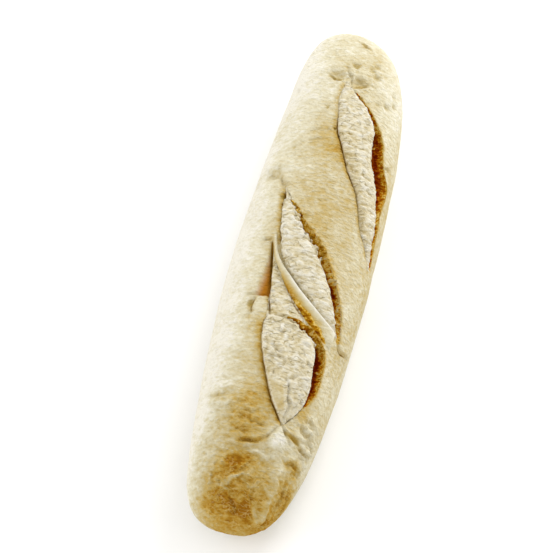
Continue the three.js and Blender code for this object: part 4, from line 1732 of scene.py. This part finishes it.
    def material(self) -> bpy.types.Material:
        """Builds the finish.

        Returns:
            The material, for a mesh that has the masks.
        """
        kit = NodeKit("baked_dough")
        crumb = kit.attribute(Mask.CRUMB).stepped(*self.crumb_range)
        wrinkles, folds, grains = [kit.noise(one) for one in (self.wrinkles, self.folds, self.grains)]
        threads = kit.threads(self.threads, self.thread_width)
        threads = threads * kit.attribute(Mask.BAKE).stepped(*self.crinkled_bake)
        threads = threads * kit.noise(self.threaded).stepped(*self.threaded_range)
        creases = kit.threads(self.creases, self.crease_width)
        creases = creases * kit.noise(self.creased).stepped(*self.creased_range)
        colour = kit.mixed(self.crust(kit, wrinkles, threads), self.torn_crumb(kit, folds, creases), crumb)
        colour = kit.mixed(colour, self.blush, kit.attribute(Mask.BLUSH).stepped(*self.blush_range))
        colour = kit.mixed(colour, self.torn_gap(kit), kit.attribute(Mask.HOLLOW).stepped(*self.hollow_range))
        colour = kit.mixed(colour, self.crack, kit.attribute(Mask.CRACK_SHADE).stepped(*self.crack_shade_range))
        calm = 1.0 - kit.attribute(Mask.TAUT) * self.taut_calm
        crust = (wrinkles * self.wrinkle_bump + threads * self.thread_bump) * (1.0 - crumb) * calm
        height = crust + (folds - creases * self.crease_bump) * crumb + grains * self.grain_bump
        sockets = {"Height": height, "Strength": 1.0, "Distance": self.bump_height * MM}
        return kit.surface({
            "Base Color": colour,
            "Roughness": self.roughness + grains * self.grain_roughness,
            "Normal": kit.node("ShaderNodeBump", {}, sockets).outputs[0],
            "Specular IOR Level": 0.0,
        })


@dataclass(frozen=True)
class PaleFloor:
    """The floor's finish."""

    colour: Colour = (0.94, 0.94, 0.94)
    roughness: float = 0.9
    gloss: float = 0.1

    def material(self) -> bpy.types.Material:
        """Builds the finish.

        Returns:
            The material.
        """
        return NodeKit("pale_floor").surface({
            "Base Color": (*self.colour, 1.0),
            "Roughness": self.roughness,
            "Specular IOR Level": self.gloss,
        })


# ---------------------------------------------------------------- studio


@dataclass(frozen=True)
class SoftLight:
    """A square area light that looks at the roll."""

    name: str
    direction: tuple[float, float, float]
    distance: float
    size: float
    power: float

    def build(self, target: Vector) -> None:
        """Hangs the light where its direction and distance put it.

        Args:
            target: What it looks at.
        """
        lamp = bpy.data.lights.new(self.name, "AREA")
        lamp.size = self.size
        lamp.energy = self.power
        towards = Vector(self.direction).normalized()
        holder = bpy.data.objects.new(self.name, lamp)
        turn = towards.to_track_quat("Z", "Y").to_matrix().to_4x4()
        holder.matrix_world = Matrix.Translation(target + towards * self.distance) @ turn
        bpy.context.scene.collection.objects.link(holder)


@dataclass
class Studio:
    """The floor, the lights and the camera."""

    target: Vector
    azimuth: float = 14.3
    elevation: float = 63.0
    distance: float = 0.8
    focal_pixels: float = 1677.0
    aside: float = -0.0118
    above: float = -0.0062
    sensor: float = 36.0
    nearest: float = 0.01
    farthest: float = 50.0
    floor_size: float = 6.0
    world_colour: Colour = (1.0, 0.99, 0.965)
    world_strength: float = 0.9
    lights: tuple[SoftLight, ...] = (
        SoftLight("far", (0.25, 1.0, 0.55), 1.2, 0.5, 7.8),
        SoftLight("left", (-1.0, -0.35, 0.45), 1.3, 0.9, 5.9),
        SoftLight("right", (1.0, 0.1, 0.45), 1.3, 0.9, 3.3),
    )

    def camera(self) -> None:
        """Stands the camera at the photograph's viewing angle."""
        turn, tilt = math.radians(self.azimuth), math.radians(self.elevation)
        back = Vector((math.sin(turn) * math.cos(tilt), -math.cos(turn) * math.cos(tilt), math.sin(tilt)))
        right = Vector((0.0, 0.0, 1.0)).cross(back).normalized()
        up = back.cross(right)
        optics = bpy.data.cameras.new("camera")
        optics.sensor_width = self.sensor
        optics.lens = self.sensor * self.focal_pixels / PHOTO_PIXELS
        optics.clip_start = self.nearest
        optics.clip_end = self.farthest
        stand = Matrix((right, up, back)).transposed().to_4x4()
        stand.translation = self.target + self.aside * right + self.above * up + self.distance * back
        camera = bpy.data.objects.new("camera", optics)
        camera.matrix_world = stand
        bpy.context.scene.collection.objects.link(camera)
        bpy.context.scene.camera = camera

    def floor(self, material: bpy.types.Material) -> bpy.types.Object:
        """Lays the floor.

        Args:
            material: Its finish.

        Returns:
            The floor.
        """
        sheet = bmesh.new()
        bmesh.ops.create_grid(sheet, x_segments=1, y_segments=1, size=self.floor_size / 2)
        return placed_object("floor", sheet, material)

    def sky(self) -> None:
        """Lights the scene evenly from all round."""
        world = bpy.data.worlds.new("studio")
        world.use_nodes = True
        background = world.node_tree.nodes["Background"]
        background.inputs["Color"].default_value = (*self.world_colour, 1.0)
        background.inputs["Strength"].default_value = self.world_strength
        bpy.context.scene.world = world

    def build(self) -> None:
        """Builds the studio."""
        self.camera()
        self.floor(PaleFloor().material())
        self.sky()
        for light in self.lights:
            light.build(self.target)
        bpy.context.scene.view_settings.view_transform = "Standard"


def main() -> None:
    """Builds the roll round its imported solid, and the studio round the roll."""
    logging.basicConfig(level=logging.INFO, format="%(name)s: %(message)s")
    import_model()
    low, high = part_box(NODE)
    size = (high - low) / MM
    form = LoafForm(length=size.y, half_width=size.x / 2 * FORM_SHARE)
    roll = Roll(form).build(BakedDough().material())
    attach(roll, BODY)
    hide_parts(NODE)
    LOG.info("roll: %d vertices, %d faces", len(roll.data.vertices), len(roll.data.polygons))
    Studio(target=Vector((form.middle * MM, 0.0, form.crown_height * MM / 2))).build()
    LOG.info("studio: camera, floor and lights")


if __name__ == "__main__":
    main()
